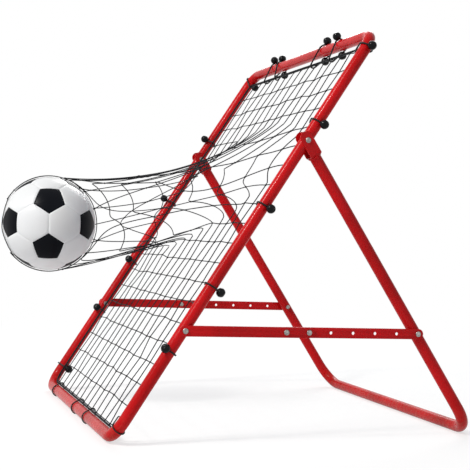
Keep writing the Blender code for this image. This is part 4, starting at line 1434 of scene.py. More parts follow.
    def build(self) -> None:
        """Make every bolt, nut and spacer."""
        gap = PLAN.fit
        inside = -PLAN.flat - gap
        head = PLAN.front_bar_face + PLAN.bar_thickness + gap
        groups = (
            ("hinge", PLAN.hinge, (PLAN.fork_outer + gap, -PLAN.fork_outer - gap), Body.FRAME),
            ("front_strut", PLAN.front_pivot, (head, inside), Body.FRAME),
            ("rear_strut", PLAN.rear_pivot, (PLAN.beside + PLAN.bar_thickness + gap, inside), Body.LEG),
        )
        run = (PLAN.rear_pivot - PLAN.front_pivot).normalized()
        rolls = random.Random(11)
        for side in Side:
            for kind, at, faces, body in groups:
                names = (f"{side.label}_{kind}_bolt", f"{side.label}_{kind}_nut")
                self.pair(names, side, at, faces, body.value, rolls)
            node = f"{side.label}_strut_spacer"
            piece = self.spacer(f"{node}_dressed", self.place(side, PLAN.beside, PLAN.front_pivot))
            settle(piece, Body.FRAME.value, "zinc", node)
            for index in (1, 2):
                at = PLAN.front_pivot + run * (PLAN.first_clamp + (index - 1) * PLAN.hole_pitch)
                names = (f"{side.label}_clamp_bolt_{index}", f"{side.label}_clamp_nut_{index}")
                body = f"{side.label}_front_strut"
                self.pair(names, side, at, (head, PLAN.beside - gap), body, rolls, True)


@dataclass(frozen=True)
class BallPlan:
    """Where the ball is and which way it faces."""

    radius: float = 0.110
    centre: Place = (-0.100, -0.063, 0.436)
    pitch: float = math.radians(7.5)
    view_side: Place = (0.989, -0.147, 0.0)
    valve_side: Place = (-0.8, 0.5, 0.3)

    @property
    def middle(self) -> Vector:
        """The ball's centre."""
        return Vector(self.centre)

    @property
    def axis(self) -> Vector:
        """The way that the ball has travelled into the net."""
        return Vector((0.0, -math.cos(self.pitch), -math.sin(self.pitch)))

    @property
    def up(self) -> Vector:
        """Square to the travel, upward."""
        return Vector((0.0, -math.sin(self.pitch), math.cos(self.pitch)))

    def turn(self) -> Matrix:
        """Turn the ball so that a seam between two white panels faces view_side.

        Black panels are then above and below that seam.

        Returns:
            The turn from the icosahedron's own axes.
        """
        shape = bmesh.new()
        bmesh.ops.create_icosphere(shape, subdivisions=1, radius=1.0)
        edge = max(shape.edges, key=lambda item: sum(vert.co.z + 0.1 * vert.co.x for vert in item.verts))
        first, second = (vert.co.copy() for vert in edge.verts)
        shape.free()
        seam = (first + second).normalized()
        run = (first - second).normalized()
        own = Matrix((seam, run, (first + second).cross(first - second).normalized()))
        view = Vector(self.view_side).normalized()
        up = (UP - view * view.z).normalized()
        return Matrix((view, up, view.cross(up))).transposed() @ own


BALL = BallPlan()


@dataclass
class NetShape:
    """The form of the net: flat in the frame, and drawn out into a pocket round the ball."""

    columns: int = 15
    rows: int = 19
    grip_angle: float = math.radians(106.5)
    grip_cells: float = 1.54
    met_at: Pair = (5.474, 11.5)
    tilt: float = 0.20
    near: float = 0.455
    far: float = 0.260
    upper: float = 0.180
    lower: float = 0.140
    open_wide: float = math.radians(84.0)
    squeeze: float = 1.8
    crowd: float = 1.5
    skin_gap: float = 0.0015
    inward: Pair = (0.113, 0.070)
    pull: float = 0.48
    flare: Pair = (0.25, 0.13)
    lift: float = 0.03
    on_ball: float = 1.0001

    @property
    def half_width(self) -> float:
        """Half the net's width."""
        return PLAN.rope_half - PLAN.net_inset

    @property
    def bottom(self) -> float:
        """The net's lowest row, up the slope."""
        return PLAN.rope_bottom + PLAN.net_inset

    @property
    def cell_high(self) -> float:
        """A cell's height."""
        return (PLAN.rope_top - PLAN.net_inset - self.bottom) / self.rows

    @property
    def cell_wide(self) -> float:
        """A cell's width."""
        return 2 * self.half_width / self.columns

    def cell_point(self, column: float, row: float) -> Pair:
        """A place on the flat net, counted in cells: (across, along)."""
        return -self.half_width + column * self.cell_wide, self.bottom + row * self.cell_high

    def opened(self, turn: float) -> float:
        """Spread a direction round the pocket, so that one cell opens over the ball's near face.

        Args:
            turn: the direction on the flat net.

        Returns:
            The direction on the ball.
        """
        size = abs(turn)
        corner = math.atan2(0.5, self.grip_cells)
        if size >= QUARTER:
            return turn
        if size <= corner:
            wide = self.open_wide * size / corner
        else:
            wide = self.open_wide + (QUARTER - self.open_wide) * (size - corner) / (QUARTER - corner)
        return math.copysign(wide, turn)

    def leave_angle(self, turn: float) -> float:
        """How far round the ball the net stays on it: to its back on the near side.

        Args:
            turn: the direction round the pocket.

        Returns:
            The angle from the front of the ball.
        """
        upright = self.grip_angle + BALL.pitch * math.sin(turn)
        if abs(turn) >= QUARTER:
            return upright
        view = Vector(BALL.view_side)
        return max(upright, math.pi - math.atan2(view.dot(BALL.axis) / view.x, math.cos(turn)))

    def flat_place(self, across: float, along: float) -> Vector:
        """A point of the flat net, drawn in where the rope rounds a corner.

        Args:
            across: its place across the net.
            along: its place up the slope.

        Returns:
            The point as (across, along, out).
        """
        low = along < PLAN.length / 2
        corner = PLAN.front_bend - PLAN.rope_bottom if low else PLAN.rope_top_corner
        inner = PLAN.rope_half - corner
        level = PLAN.rope_bottom + corner if low else PLAN.rope_top - corner
        if abs(across) <= inner or (along >= level if low else along <= level):
            return Vector((across, along, 0.0))
        middle = Vector((math.copysign(inner, across), level, 0.0))
        away = Vector((across, along, 0.0)) - middle
        away.length = min(away.length, corner - PLAN.net_inset)
        return middle + away

    def to_plane(self, point: Vector) -> Vector:
        """The model's axes as (across, along, out)."""
        rel = point - PLAN.origin
        return Vector((rel.x, rel.dot(PLAN.along), rel.dot(PLAN.outward)))

    def place(self, across: float, along: float) -> tuple[Vector, float]:
        """Where a point of the flat net goes.

        Args:
            across: its place across the flat net.
            along: its place up the slope.

        Returns:
            The point in the model's axes, and where it lies: below 0 on the ball, from 0 to 1 outward on
            the pocket's wall, and 2 on the flat net.
        """
        centre = self.cell_point(*self.met_at)
        du = across - centre[0]
        dv = along - centre[1]
        grip_wide = self.grip_cells * self.cell_wide
        grip_high = self.grip_cells * self.cell_high
        grip = math.hypot(du / grip_wide, dv / grip_high)
        leaned = dv - self.tilt * du
        wide = self.near if du > 0 else self.far
        high = self.upper if leaned > 0 else self.lower
        edge = math.hypot(du / wide, leaned / high)
        if edge >= 1.0:
            return PLAN.frame_point(*self.flat_place(across, along)), 2.0
        turn = self.opened(math.atan2(dv / grip_high, du / grip_wide))
        spoke = Vector((math.cos(turn), 0.0, 0.0)) + BALL.up * math.sin(turn)
        reach = BALL.radius + self.skin_gap + PLAN.strand / 2
        last_angle = self.leave_angle(turn)
        if grip <= 1.0:
            angle = last_angle * grip ** (1.0 + self.squeeze * max(0.0, math.cos(turn)))
            touched = (BALL.axis * math.cos(angle) + spoke * math.sin(angle)) * reach
            return BALL.middle + touched, grip - self.on_ball
        share = ((1.0 - 1.0 / grip) / (1.0 / edge - 1.0 / grip)) ** self.crowd
        leave = BALL.axis * math.cos(last_angle) + spoke * math.sin(last_angle)
        inward = self.inward[0] + self.inward[1] * math.sin(turn)
        tangent = (-BALL.axis - spoke * inward).normalized()
        first = self.to_plane(BALL.middle + leave * reach)
        last = Vector((centre[0] + du / edge, centre[1] + dv / edge, 0.0))
        span = (last - first).length
        pulled = self.to_plane(BALL.middle + leave * reach + tangent * span * self.pull)
        flare = self.flare[0] + self.flare[1] * math.sin(turn)
        flared = last.lerp(Vector((*centre, 0.0)), flare) + UP * (self.lift * span)
        rest = 1.0 - share
        curve = first * rest**3 + pulled * 3 * rest**2 * share
        curve += flared * 3 * rest * share**2
        curve += last * share**3
        return PLAN.frame_point(*curve), share


@dataclass
class KnottedNet:
    """The net's twine and knots, one mesh drawn out round the ball."""

    finishes: Finishes
    shape: NetShape
    twine_radius: float = 0.00115
    twine_sides: int = 6
    flat_steps: int = 3
    pocket_steps: int = 8
    ball_steps: int = 30
    ball_end: float = 0.3
    free_from: float = 0.06
    knot_radius: float = 0.0021
    knot_sizes: Pair = (0.92, 1.12)
    knot_lobes: float = 0.22
    knot_height: float = 0.85
    jitter: float = 0.0012
    droop: float = 0.6
    slack_share: float = 0.12
    bow_limit: float = 0.13
    past_ball: float = 1.25
    sharp: float = 60.0
    draft: Draft = field(default_factory=Draft)
    shifts: dict[Knot, Vector] = field(default_factory=dict)
    dice: random.Random = field(default_factory=lambda: random.Random(23))

    def scatter(self) -> None:
        """Give the inner knots small uneven shifts, always the same ones."""
        dice = random.Random(7)
        for column in range(self.shape.columns + 1):
            for row in range(self.shape.rows + 1):
                shift = Vector((dice.gauss(0, 1), dice.gauss(0, 1), dice.gauss(0, 1))) * self.jitter
                inner = 0 < column < self.shape.columns and 0 < row < self.shape.rows
                self.shifts[column, row] = shift if inner else Vector()

    def segment(self, first: Knot, last: Knot) -> list[Vector]:
        """The twine between two neighbouring knots, with its slack as a bow.

        Args:
            first: column and row of the first knot.
            last: column and row of the second one.

        Returns:
            Points from the first knot up to, not including, the second.
        """
        start = self.shape.cell_point(*first)
        end = self.shape.cell_point(*last)
        middle = self.shape.place((start[0] + end[0]) / 2, (start[1] + end[1]) / 2)
        ends = [self.shape.place(*start), self.shape.place(*end)]
        nearest = min(item[1] for item in (*ends, middle))
        steps = self.pocket_steps if nearest < 2.0 else self.flat_steps
        if nearest < self.ball_end:
            steps = self.ball_steps
        cell = self.shape.cell_wide if first[1] == last[1] else self.shape.cell_high
        chord = (ends[1][0] - ends[0][0]).length
        slack = max(0.0, cell - chord) * self.slack_share
        bow = min(math.sqrt(3 * chord * slack / 8), self.bow_limit * chord)
        side = Vector((self.dice.gauss(0, 1), self.dice.gauss(0, 1), self.dice.gauss(0, 1) - self.droop))
        run = (ends[1][0] - ends[0][0]).normalized()
        side = (side - run * side.dot(run)).normalized()
        free = 1.0 if middle[1] > self.free_from else 0.0
        swings = self.dice.choice((1, 1, 2))
        points = []
        for step in range(steps):
            share = step / steps
            flat = [low + (high - low) * share for low, high in zip(start, end)]
            point, where = self.shape.place(*flat)
            loose = 1.0 if where > 0.0 else 0.0
            wave = math.sin(math.pi * share * swings) / swings
            shift = self.shifts[first].lerp(self.shifts[last], share)
            points.append(point + (side * bow * wave * free + shift) * loose)
        return points

    def strand(self, knots: Sequence[Knot]) -> None:
        """Add one run of twine through a row or a column of knots.

        Args:
            knots: column and row of each knot.
        """
        points = [point for first, last in zip(knots, knots[1:]) for point in self.segment(first, last)]
        points.append(self.shape.place(*self.shape.cell_point(*knots[-1]))[0])
        steep = abs((points[1] - points[0]).normalized().dot(PLAN.outward)) >= 0.9
        frames = across_line(points, PLAN.along if steep else PLAN.outward, False, True)
        self.draft.sweep(points, frames, self.twine_radius, self.twine_sides, False)

    def knot(self, centre: Vector) -> None:
        """Add a small knot: a ball of three lobes.

        Args:
            centre: where it is.
        """
        shape = bmesh.new()
        dice = self.dice
        angle = dice.uniform(0, math.pi)
        turn = Matrix.Rotation(angle, 3, Vector((dice.gauss(0, 1), dice.gauss(0, 1), 1.0)).normalized())
        bmesh.ops.create_icosphere(shape, subdivisions=2, radius=1.0)
        size = self.knot_radius * dice.uniform(*self.knot_sizes)
        for vert in shape.verts:
            x, y, z = vert.co
            swell = 1.0 + self.knot_lobes * math.cos(3 * math.atan2(y, x)) * (1 - z**2)
            vert.co = turn @ Vector((x * size * swell, y * size * swell, z * size * self.knot_height))
        self.draft.add_shape(shape, centre)

    def build(self) -> None:
        """Make the net, drawn out between the frame and the ball."""
        self.scatter()
        columns = range(self.shape.columns + 1)
        rows = range(self.shape.rows + 1)
        for row in rows:
            self.strand([(column, row) for column in columns])
        for column in columns:
            self.strand([(column, row) for row in rows])
        for column in columns:
            for row in rows:
                centre, where = self.shape.place(*self.shape.cell_point(column, row))
                self.knot(centre + (self.shifts[column, row] if where > 0.0 else Vector()))
        piece = self.draft.finish("net_dressed", self.finishes.twine, self.sharp)
        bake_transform(piece)
        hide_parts("net")
        LOG.info("net_dressed bends from frame to ball, %d faces", len(piece.data.polygons))


@dataclass
class EdgeRope:
    """The three-strand rope round the net's edge."""

    finishes: Finishes
    strands: int = 3
    strand_radius: float = 0.00132
    strand_offset: float = 0.00122
    strand_sides: int = 6
    pitch: float = 0.019
    step: float = 0.0024
    corner_steps: int = 8
    sharp: float = 70.0

    def line(self) -> list[Vector]:
        """The rope's own path: a rounded rectangle.

        Returns:
            Points from the near top corner round by the far side.
        """
        points: list[Pair] = []
        foot = PLAN.front_bend - PLAN.rope_bottom
        high = (PLAN.rope_top_corner, PLAN.rope_top - PLAN.rope_top_corner)
        low = (foot, PLAN.rope_bottom + foot)
        corners = ((1.0, high), (-1.0, high), (-1.0, low), (1.0, low))
        for quarter, (sign, (corner, level)) in enumerate(corners):
            first = quarter * QUARTER
            centre = (sign * (PLAN.rope_half - corner), level)
            points += arc(centre, corner, first, first + QUARTER, self.corner_steps)
        return [PLAN.frame_point(a, b) for a, b in points]

    def build(self) -> None:
        """Wind the strands round the path."""
        points = resample(self.line(), self.step)
        marks = polyline_lengths(points, True)
        turns = round(marks[-1] / self.pitch)
        frames = across_line(points, PLAN.outward, True)
        draft = Draft()
        for strand in range(self.strands):
            line = []
            for point, mark, (beside, up) in zip(points, marks, frames):
                angle = FULL * (turns * mark / marks[-1] + strand / self.strands)
                line.append(point + (beside * math.cos(angle) + up * math.sin(angle)) * self.strand_offset)
            across = across_line(line, PLAN.outward, True)
            draft.sweep(line, across, self.strand_radius, self.strand_sides, True, marks)
        piece = draft.finish("net_edge_rope_dressed", self.finishes.rope, self.sharp)
        settle(piece, Body.FRAME.value, "black_cord", "net_edge_rope")


@dataclass(frozen=True)
class TieSpot:
    """One tie: its place on its tube, how far in the rope is, and its knobs."""

    name: str
    base: Vector
    outward: Vector
    rope_at: float
    knobs: tuple[Pair, ...] = ()
    lean: float = 0.0
    ring: bool = False

    @property
    def aside(self) -> Vector:
        """Along the tube, square to the tie's plane."""
        return self.outward.cross(UP)

    def place(self, a: float, b: float) -> Vector:
        """Put a point of the tie's plane, which may lean, in the model's axes.

        Args:
            a: its place outward from the tube's axis.
            b: its place in front of the frame plane.

        Returns:
            The point.
        """
        share = (a + self.rope_at) / (self.rope_at + PLAN.tube_radius)
        return PLAN.frame_point(*(self.base + self.outward * a + self.aside * self.lean * share + UP * b))


@dataclass
class NetTies:
    """The elastic loops and their knobs, and the thin rings round the foot tube.

    A row gives the tie's cell, its share of that cell, the knob's angle and the loop's lean.
    """

    finishes: Finishes
    shape: NetShape
    cord: Pair = (0.0018, 0.0005)
    ring_cord: Pair = (0.0014, 0.0003)
    cord_sides: int = 10
    cord_step: float = 0.0018
    belt_steps: tuple[int, int] = (48, 32)
    knob_radius: float = 0.0097
    mould_line: Pair = (0.0005, 0.00025)
    dimple: Pair = (0.0026, 0.0012)
    low_knob: float = -135.0
    first_double: int = 2
    corner_inside: float = 0.0036
    sharp: float = 60.0
    corner_ties: tuple[tuple[Side, float, float], ...] = ((Side.NEAR, 10.0, -8.0), (Side.FAR, 36.0, -140.0))
    corner_ring: float = 30.0
    near_ties: tuple = ((15, 0.12, -25.0), (10, 0.88, -30.0), (6, 0.88, -75.0), (3, 0.74, 41.0))
    far_ties: tuple = ((15, 0.25, 112.0), (11, 0.27, 94.0), (7, 0.42, 140.0), (4, 0.33, 140.0),
                       (0, 0.77, -140.0))
    top_ties: tuple = ((2, 0.80, 50.0, 0.018), (4, 0.35, 22.0, -0.024), (9, 0.55, 30.0, 0.026),
                       (11, 0.80, 60.0, 0.004))
    foot_rings: tuple = ((1, 0.85), (7, 0.50), (10, 0.30))

    def knob_at(self, degrees: float) -> Pair:
        """A knob that lies against its tube, at an angle round it."""
        away = PLAN.tube_radius + self.cord[1] + self.knob_radius
        return away * math.cos(math.radians(degrees)), away * math.sin(math.radians(degrees))

    def strand_at(self, start: Vector, toward: Vector, cell: int) -> float:
        """Where a ray in the frame plane meets the net's side strand.

        Args:
            start: where the ray starts.
            toward: its direction.
            cell: the cell whose side strand it is.

        Returns:
            How far along the ray the strand is.
        """
        low = self.shape.bottom + cell * self.shape.cell_high
        edge = math.copysign(self.shape.half_width, start.x)
        first = self.shape.flat_place(edge, low)
        run = self.shape.flat_place(edge, low + self.shape.cell_high) - first
        gap = first - start
        return (gap.x * run.y - gap.y * run.x) / (toward.x * run.y - toward.y * run.x)

    def corner_spot(self, name: str, side: Side, degrees: float, knob: float | None) -> TieSpot:
        """A tie round a bend of the frame: one with a knob at the top, or a bare ring at the foot.

        Args:
            name: the tie's node.
            side: the side.
            degrees: how far round the bend it is.
            knob: the knob's angle, or None for a ring.

        Returns:
            The tie.
        """
        ring = knob is None
        bend = PLAN.front_bend
        middle = Vector((side.value * (PLAN.width / 2 - bend), bend if ring else PLAN.length - bend, 0.0))
        rise = math.radians(-degrees if ring else degrees)
        outward = Vector((side.value * math.cos(rise), math.sin(rise), 0.0))
        strand = bend - self.strand_at(middle, outward, 0 if ring else self.shape.rows - 1)
        rope_at = strand + self.corner_inside - PLAN.net_inset
        knobs = () if ring else (self.knob_at(knob),)
        return TieSpot(name, middle + outward * bend, outward, rope_at, knobs, 0.0, ring)

    def spots(self) -> list[TieSpot]:
        """Every tie and ring.

        Returns:
            The ties, those at the corners first.
        """
        made = [self.corner_spot(f"{side.label}_tie_1", side, *tie) for side, *tie in self.corner_ties]
        up_slope = Vector((0.0, 1.0, 0.0))
        last_ring = f"bottom_ring_{len(self.foot_rings) + 1}"
        made.append(self.corner_spot(last_ring, Side.NEAR, self.corner_ring, None))
        for side, ties in ((Side.NEAR, self.near_ties), (Side.FAR, self.far_ties)):
            out = Vector((side.value, 0.0, 0.0))
            for index, (cell, share, degrees) in enumerate(ties, 2):
                along = self.shape.cell_point(0, cell + share)[1]
                base = Vector((side.value * PLAN.width / 2, along, 0.0))
                rope_at = self.strand_at(base, -out, cell) - PLAN.net_inset
                knobs = (self.knob_at(degrees),)
                made.append(TieSpot(f"{side.label}_tie_{index}", base, out, rope_at, knobs))
        for index, (cell, share, degrees, lean) in enumerate(self.top_ties, 1):
            base = Vector((self.shape.cell_point(cell + share, 0)[0], PLAN.length, 0.0))
            low = (self.knob_at(self.low_knob),) if index >= self.first_double else ()
            knobs = (self.knob_at(degrees), *low)
            made.append(TieSpot(f"top_tie_{index}", base, up_slope, PLAN.rope_from_top, knobs, lean))
        for index, (cell, share) in enumerate(self.foot_rings, 1):
            base = Vector((self.shape.cell_point(cell + share, 0)[0], 0.0, 0.0))
            made.append(TieSpot(f"bottom_ring_{index}", base, -up_slope, PLAN.rope_bottom, ring=True))
        return made

    def loop(self, spot: TieSpot) -> Piece:
        """The cord of one tie: a belt round the tube, the rope and the net's first strand.

        Args:
            spot: the tie.

        Returns:
            The piece.
        """
        radius, slack = self.ring_cord if spot.ring else self.cord
        edge = PLAN.rope_radius + (PLAN.net_inset + PLAN.strand / 2 - PLAN.rope_radius) / 2
        bundle = -(spot.rope_at + PLAN.net_inset + PLAN.strand / 2 - edge)
        around: list[Pair] = []
        for centre, reach, steps in zip((0.0, bundle), (PLAN.tube_radius, edge), self.belt_steps):
            around += arc((centre, 0.0), reach + slack + radius, 0.0, FULL, steps)[:-1]
        points = resample([spot.place(a, b) for a, b in hull(around)], self.cord_step)
        normal = (Vector((spot.aside.x, 0.0, 0.0)) + PLAN.along * spot.aside.y).normalized()
        draft = Draft()
        draft.sweep(points, across_line(points, normal, True), radius, self.cord_sides, True)
        return draft.finish(f"{spot.name}_loop", self.finishes.elastic, self.sharp)

    def knob(self, spot: TieSpot, at: Pair, draft: Draft) -> None:
        """Add a round knob with a moulding line and a dimple where the cord goes in.

        Args:
            spot: the tie.
            at: the knob's place in the tie's plane.
            draft: what it is added to.
        """
        centre = spot.place(*at)
        toward = (PLAN.frame_point(spot.base.x, spot.base.y) - centre).normalized()
        turn = toward.to_track_quat("Z", "Y").to_matrix()
        shape = bmesh.new()
        bmesh.ops.create_uvsphere(shape, u_segments=32, v_segments=20, radius=self.knob_radius)
        for vert in shape.verts:
            line = math.exp(-((vert.co.z / self.mould_line[0]) ** 2)) * self.mould_line[1]
            pole = math.hypot(vert.co.x, vert.co.y)
            dimple = math.exp(-((pole / self.dimple[0]) ** 2)) * self.dimple[1]
            vert.co = turn @ (vert.co.normalized() * (self.knob_radius + line - dimple))
        draft.add_shape(shape, centre)

    def build(self) -> None:
        """Make every loop and every knob."""
        for spot in self.spots():
            slot = "elastic" if spot.ring else "black_plastic"
            settle(self.loop(spot), Body.FRAME.value, slot, spot.name)
            if not spot.knobs:
                continue
            draft = Draft()
            for at in spot.knobs:
                self.knob(spot, at, draft)
            piece = draft.finish(f"{spot.name}_knobs", self.finishes.knob, self.sharp)
            settle(piece, Body.FRAME.value, "black_plastic")


@dataclass
class Football:
    """The ball: sewn panels with rounded seams, and its valve."""

    finishes: Finishes
    fine: int = 9
    rim_share: float = 1.6
    seam_depth: float = 0.0011
    seam_width: float = 0.0016
    puff: float = 0.0004
    puff_width: float = 0.014
    sharp: float = 70.0
    weld: float = 0.00001
    dip_depth: float = 0.0009
    dip_radius: float = 0.0050 * 1.15
    dip_steepness: int = 6
    valve_sides: int = 28
    valve_sharp: float = 50.0
    valve_rings: tuple[Pair, ...] = ((0.0050, -0.0060), (0.0050, -0.0012), (0.0044, -0.0006),
                                     (0.0022, -0.0005), (0.0012, -0.0012), (0.0006, -0.0030))

    def panels(self) -> list[list[Vector]]:
        """The corners of the 32 panels on a sphere of radius 1.

        Returns:
            Each panel's corners, 5 of a black one and 6 of a white one.
        """
        shape = bmesh.new()
        bmesh.ops.create_icosphere(shape, subdivisions=1, radius=1.0)
        bmesh.ops.bevel(shape, geom=list(shape.verts), offset=33.3333, offset_type="PERCENT",
                        affect="VERTICES", segments=1, profile=0.5)
        made = [[vert.co.copy() for vert in face.verts] for face in shape.faces]
        shape.free()
        return made

    def reach(self, toward: Vector, away: float, valve: Vector | None) -> float:
        """How far from the ball's centre the skin is.

        Args:
            toward: the direction from the centre.
            away: the distance from the nearest seam.
            valve: the direction of the valve, where this panel has it.

        Returns:
            The distance.
        """
        groove = self.seam_depth * math.exp(-((away / self.seam_width) ** 2))
        swell = self.puff * min(1.0, away / self.puff_width)
        reach = BALL.radius - self.puff + (swell - groove)
        if valve is not None:
            beside = (toward - valve).length * BALL.radius
            reach -= self.dip_depth * math.exp(-((beside / self.dip_radius) ** self.dip_steepness))
        return reach

    def panel(self, draft: Draft, corners: Line, turn: Matrix, valve: Vector | None) -> None:
        """Add one panel, finely divided, with its edge rolled down into the seam.

        Args:
            draft: what it is added to.
            corners: its corners.
            turn: how the ball is turned.
            valve: the direction of the valve, where this panel has it.
        """
        middle = sum(corners, Vector()) / len(corners)
        inradius = min(((a + b) / 2 - middle).length for a, b in zip(corners, [*corners[1:], corners[0]]))
        scale = BALL.radius / middle.length
        verts: list[Vector] = []
        faces: list[list[int]] = []
        for number, corner in enumerate(corners):
            after = corners[(number + 1) % len(corners)]
            start = len(verts)
            for ring in range(self.fine + 1):
                rim = (1.0 - ring / self.fine) ** self.rim_share
                for step in range(ring + 1):
                    flat = middle.lerp(corner.lerp(after, step / ring), 1.0 - rim) if ring else middle
                    toward = flat.normalized()
                    reach = self.reach(toward, rim * inradius * scale, valve)
                    verts.append(BALL.middle + turn @ (toward * reach))
            for ring in range(self.fine):
                low = start + ring * (ring + 1) // 2
                high = start + (ring + 1) * (ring + 2) // 2
                for step in range(ring + 1):
                    faces.append([low + step, high + step, high + step + 1])
                    if step < ring:
                        faces.append([low + step, high + step + 1, low + step + 1])
        draft.add(verts, faces)

    def valve(self, look: Vector) -> Piece:
        """The rubber valve in its panel, with its needle hole.

        Args:
            look: the way that it faces.

        Returns:
            The piece.
        """
        draft = Draft()
        beside = look.orthogonal().normalized()
        frame = (beside, look.cross(beside))
        rings = []
        for radius, height in self.valve_rings:
            centre = BALL.middle + look * (BALL.radius + height)
            rings.append(ring_points(centre, frame, (radius, radius), self.valve_sides))
        draft.grid(rings, False, [0.0] * len(rings))
        return draft.finish("ball_valve_dressed", self.finishes.butyl, self.valve_sharp)

    def build(self) -> None:
        """Make the panels of each colour, and the valve in the white panel nearest its side.

        The bladder keeps its solid, with the look of butyl rubber.
        """
        turn = BALL.turn()
        panels = self.panels()
        wanted = turn.transposed() @ Vector(BALL.valve_side)
        whites = [sum(panel, Vector()).normalized() for panel in panels if len(panel) == 6]
        axis = max(whites, key=lambda middle: middle.dot(wanted))
        for count, material, node, slot in ((6, self.finishes.white_skin, "ball_white_panels", "white_skin"),
                                            (5, self.finishes.black_skin, "ball_black_panels", "black_skin")):
            draft = Draft()
            for corners in panels:
                if len(corners) == count:
                    holds_valve = sum(corners, Vector()).normalized().dot(axis) > 0.99
                    self.panel(draft, corners, turn, axis if holds_valve else None)
            piece = draft.finish(f"{node}_dressed", material, self.sharp, self.weld, BALL.middle)
            settle(piece, Body.BALL.value, slot, node)
        settle(self.valve((turn @ axis).normalized()), Body.BALL.value, "valve_rubber", "ball_valve")
        bladder = FRAME["nodes"]["ball_bladder"].data
        bladder.materials.clear()
        bladder.materials.append(self.finishes.butyl)


@dataclass(frozen=True)
class Lamp:
    """A square soft lamp: its place, its side, its strength in watts and its colour."""

    name: str
    place: Place
    size: float
    watts: float
    colour: Colour

    def hang(self, target: Vector) -> None:
        """Make the lamp and turn it to what it lights.

        Args:
            target: what it looks at.
        """
        data = bpy.data.lights.new(self.name, "AREA")
        data.size = self.size
        data.energy = self.watts
        data.color = self.colour
        item = new_item(self.name, data)
        item.location = self.place
        item.rotation_euler = (target - Vector(self.place)).to_track_quat("-Z", "Y").to_euler()


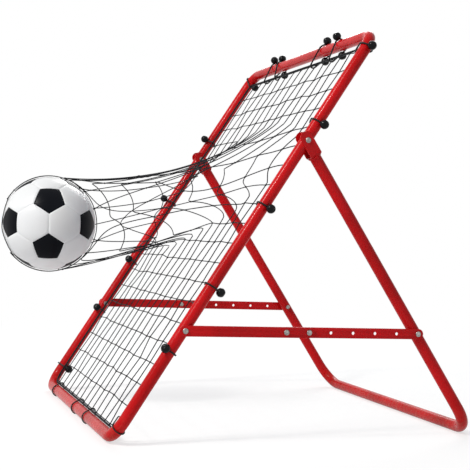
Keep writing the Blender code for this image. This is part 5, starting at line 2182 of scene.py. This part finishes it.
@dataclass
class Studio:
    """The floor, the background, the lamps and the camera."""

    focal_pixels: float = 1161.89
    picture: int = 470
    sensor: float = 36.0
    place: Place = (2.65194, -0.47920, 0.43444)
    yaw: float = math.radians(-17.72098)
    pitch: float = math.radians(-0.26105)
    roll: float = math.radians(1.70386)
    white: Colour = (1.0, 1.0, 1.0)
    daylight: Colour = (0.86, 0.92, 1.0)
    daylight_strength: float = 0.28
    floor_size: float = 14.0
    floor_under: float = 0.0002
    paper: Colour = (0.80, 0.80, 0.80)
    shadow_paper: Colour = (0.42, 0.42, 0.42)
    paper_glow: float = 0.62
    fade: Pair = (1.1, 2.4)
    target: Place = (0.0, 0.3, 0.35)
    lamps: tuple[Lamp, ...] = (
        Lamp("key_lamp", (1.3, -3.0, 3.5), 2.0, 104.0, (1.0, 0.98, 0.95)),
        Lamp("sun_lamp", (1.2, -2.7, 3.4), 0.4, 64.0, (1.0, 0.97, 0.93)),
        Lamp("fill_lamp", (3.4, 1.8, 1.2), 2.4, 6.0, (0.88, 0.94, 1.0)),
        Lamp("rim_lamp", (-2.6, 1.6, 2.6), 1.8, 60.0, (1.0, 1.0, 1.0)),
    )

    def camera(self) -> None:
        """Make the camera at the photograph's place."""
        level = math.cos(self.pitch)
        look = Vector((-math.cos(self.yaw) * level, -math.sin(self.yaw) * level, math.sin(self.pitch)))
        right = look.cross(UP).normalized()
        up = right.cross(look)
        leaned_right = right * math.cos(self.roll) + up * math.sin(self.roll)
        leaned_up = up * math.cos(self.roll) - right * math.sin(self.roll)
        data = bpy.data.cameras.new("photo_camera")
        data.sensor_width = self.sensor
        data.lens = self.focal_pixels / self.picture * self.sensor
        item = new_item("photo_camera", data)
        turn = Matrix((leaned_right, leaned_up, -look)).transposed().to_4x4()
        item.matrix_world = Matrix.Translation(self.place) @ turn
        bpy.context.scene.camera = item

    def world(self) -> None:
        """White to the camera and in reflections, soft grey daylight otherwise."""
        world = bpy.data.worlds.new("studio_air")
        bpy.context.scene.world = world
        world.use_nodes = True
        net = NodeTree(world.node_tree)
        shade = world.node_tree.nodes["Background"].inputs
        seen = net.rays("Camera", "Glossy", "Transmission")
        net.feed(shade["Color"], net.blend(seen, self.daylight, self.white))
        net.feed(shade["Strength"], net.between(seen, self.daylight_strength, 1.0))

    def floor_paper(self) -> Material:
        """The floor's material, which fades to the white background.

        Returns:
            The material.
        """
        material = bpy.data.materials.new("pale_floor")
        material.use_nodes = True
        nodes = material.node_tree.nodes
        nodes.remove(nodes["Principled BSDF"])
        net = NodeTree(material.node_tree)
        plain = net.add("BsdfDiffuse", Color=self.paper)
        shadowed = net.add("BsdfDiffuse", Color=self.shadow_paper)
        glow = net.add("Emission", Color=self.white, Strength=self.paper_glow)
        lit = net.add("AddShader", in_0=shadowed.outputs[0], in_1=glow.outputs[0])
        clear = net.add("Emission", Color=self.white, Strength=1.0)
        away = net.add("VectorMath", operation="LENGTH", in_0=net.add("TexCoord").outputs["Object"])
        fade = net.ramp(away.outputs["Value"], *self.fade)
        faded = net.add("MixShader", in_0=fade, in_1=lit.outputs[0], in_2=clear.outputs[0])
        seen = net.rays("Camera", "Glossy")
        chosen = net.add("MixShader", in_0=seen, in_1=plain.outputs[0], in_2=faded.outputs[0])
        net.feed(nodes["Material Output"].inputs["Surface"], chosen.outputs[0])
        return material

    def floor(self) -> None:
        """A pale floor that keeps the object's shadow."""
        half = self.floor_size / 2
        mesh = bpy.data.meshes.new("studio_floor")
        corners = [(x * half, y * half, 0.0) for x, y in ((-1, -1), (1, -1), (1, 1), (-1, 1))]
        mesh.from_pydata(corners, [], [(0, 1, 2, 3)])
        mesh.materials.append(self.floor_paper())
        item = new_item("studio_floor", mesh)
        item.location = (0.0, 0.0, -self.floor_under)

    def build(self) -> None:
        """Set the stage."""
        bpy.context.scene.view_settings.view_transform = "Standard"
        self.camera()
        self.world()
        self.floor()
        for lamp in self.lamps:
            lamp.hang(Vector(self.target))


def main() -> None:
    """Build every sub-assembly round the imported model."""
    logging.basicConfig(level=logging.INFO, format="%(name)s: %(message)s")
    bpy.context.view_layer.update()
    Studio().build()
    finishes = Finishes()
    shape = NetShape()
    SteelTubes(finishes).build()
    HingeForks(finishes).build()
    StrutBars(finishes).build()
    Fasteners(finishes).build()
    KnottedNet(finishes, shape).build()
    EdgeRope(finishes).build()
    NetTies(finishes, shape).build()
    Football(finishes).build()


if __name__ == "__main__":
    main()
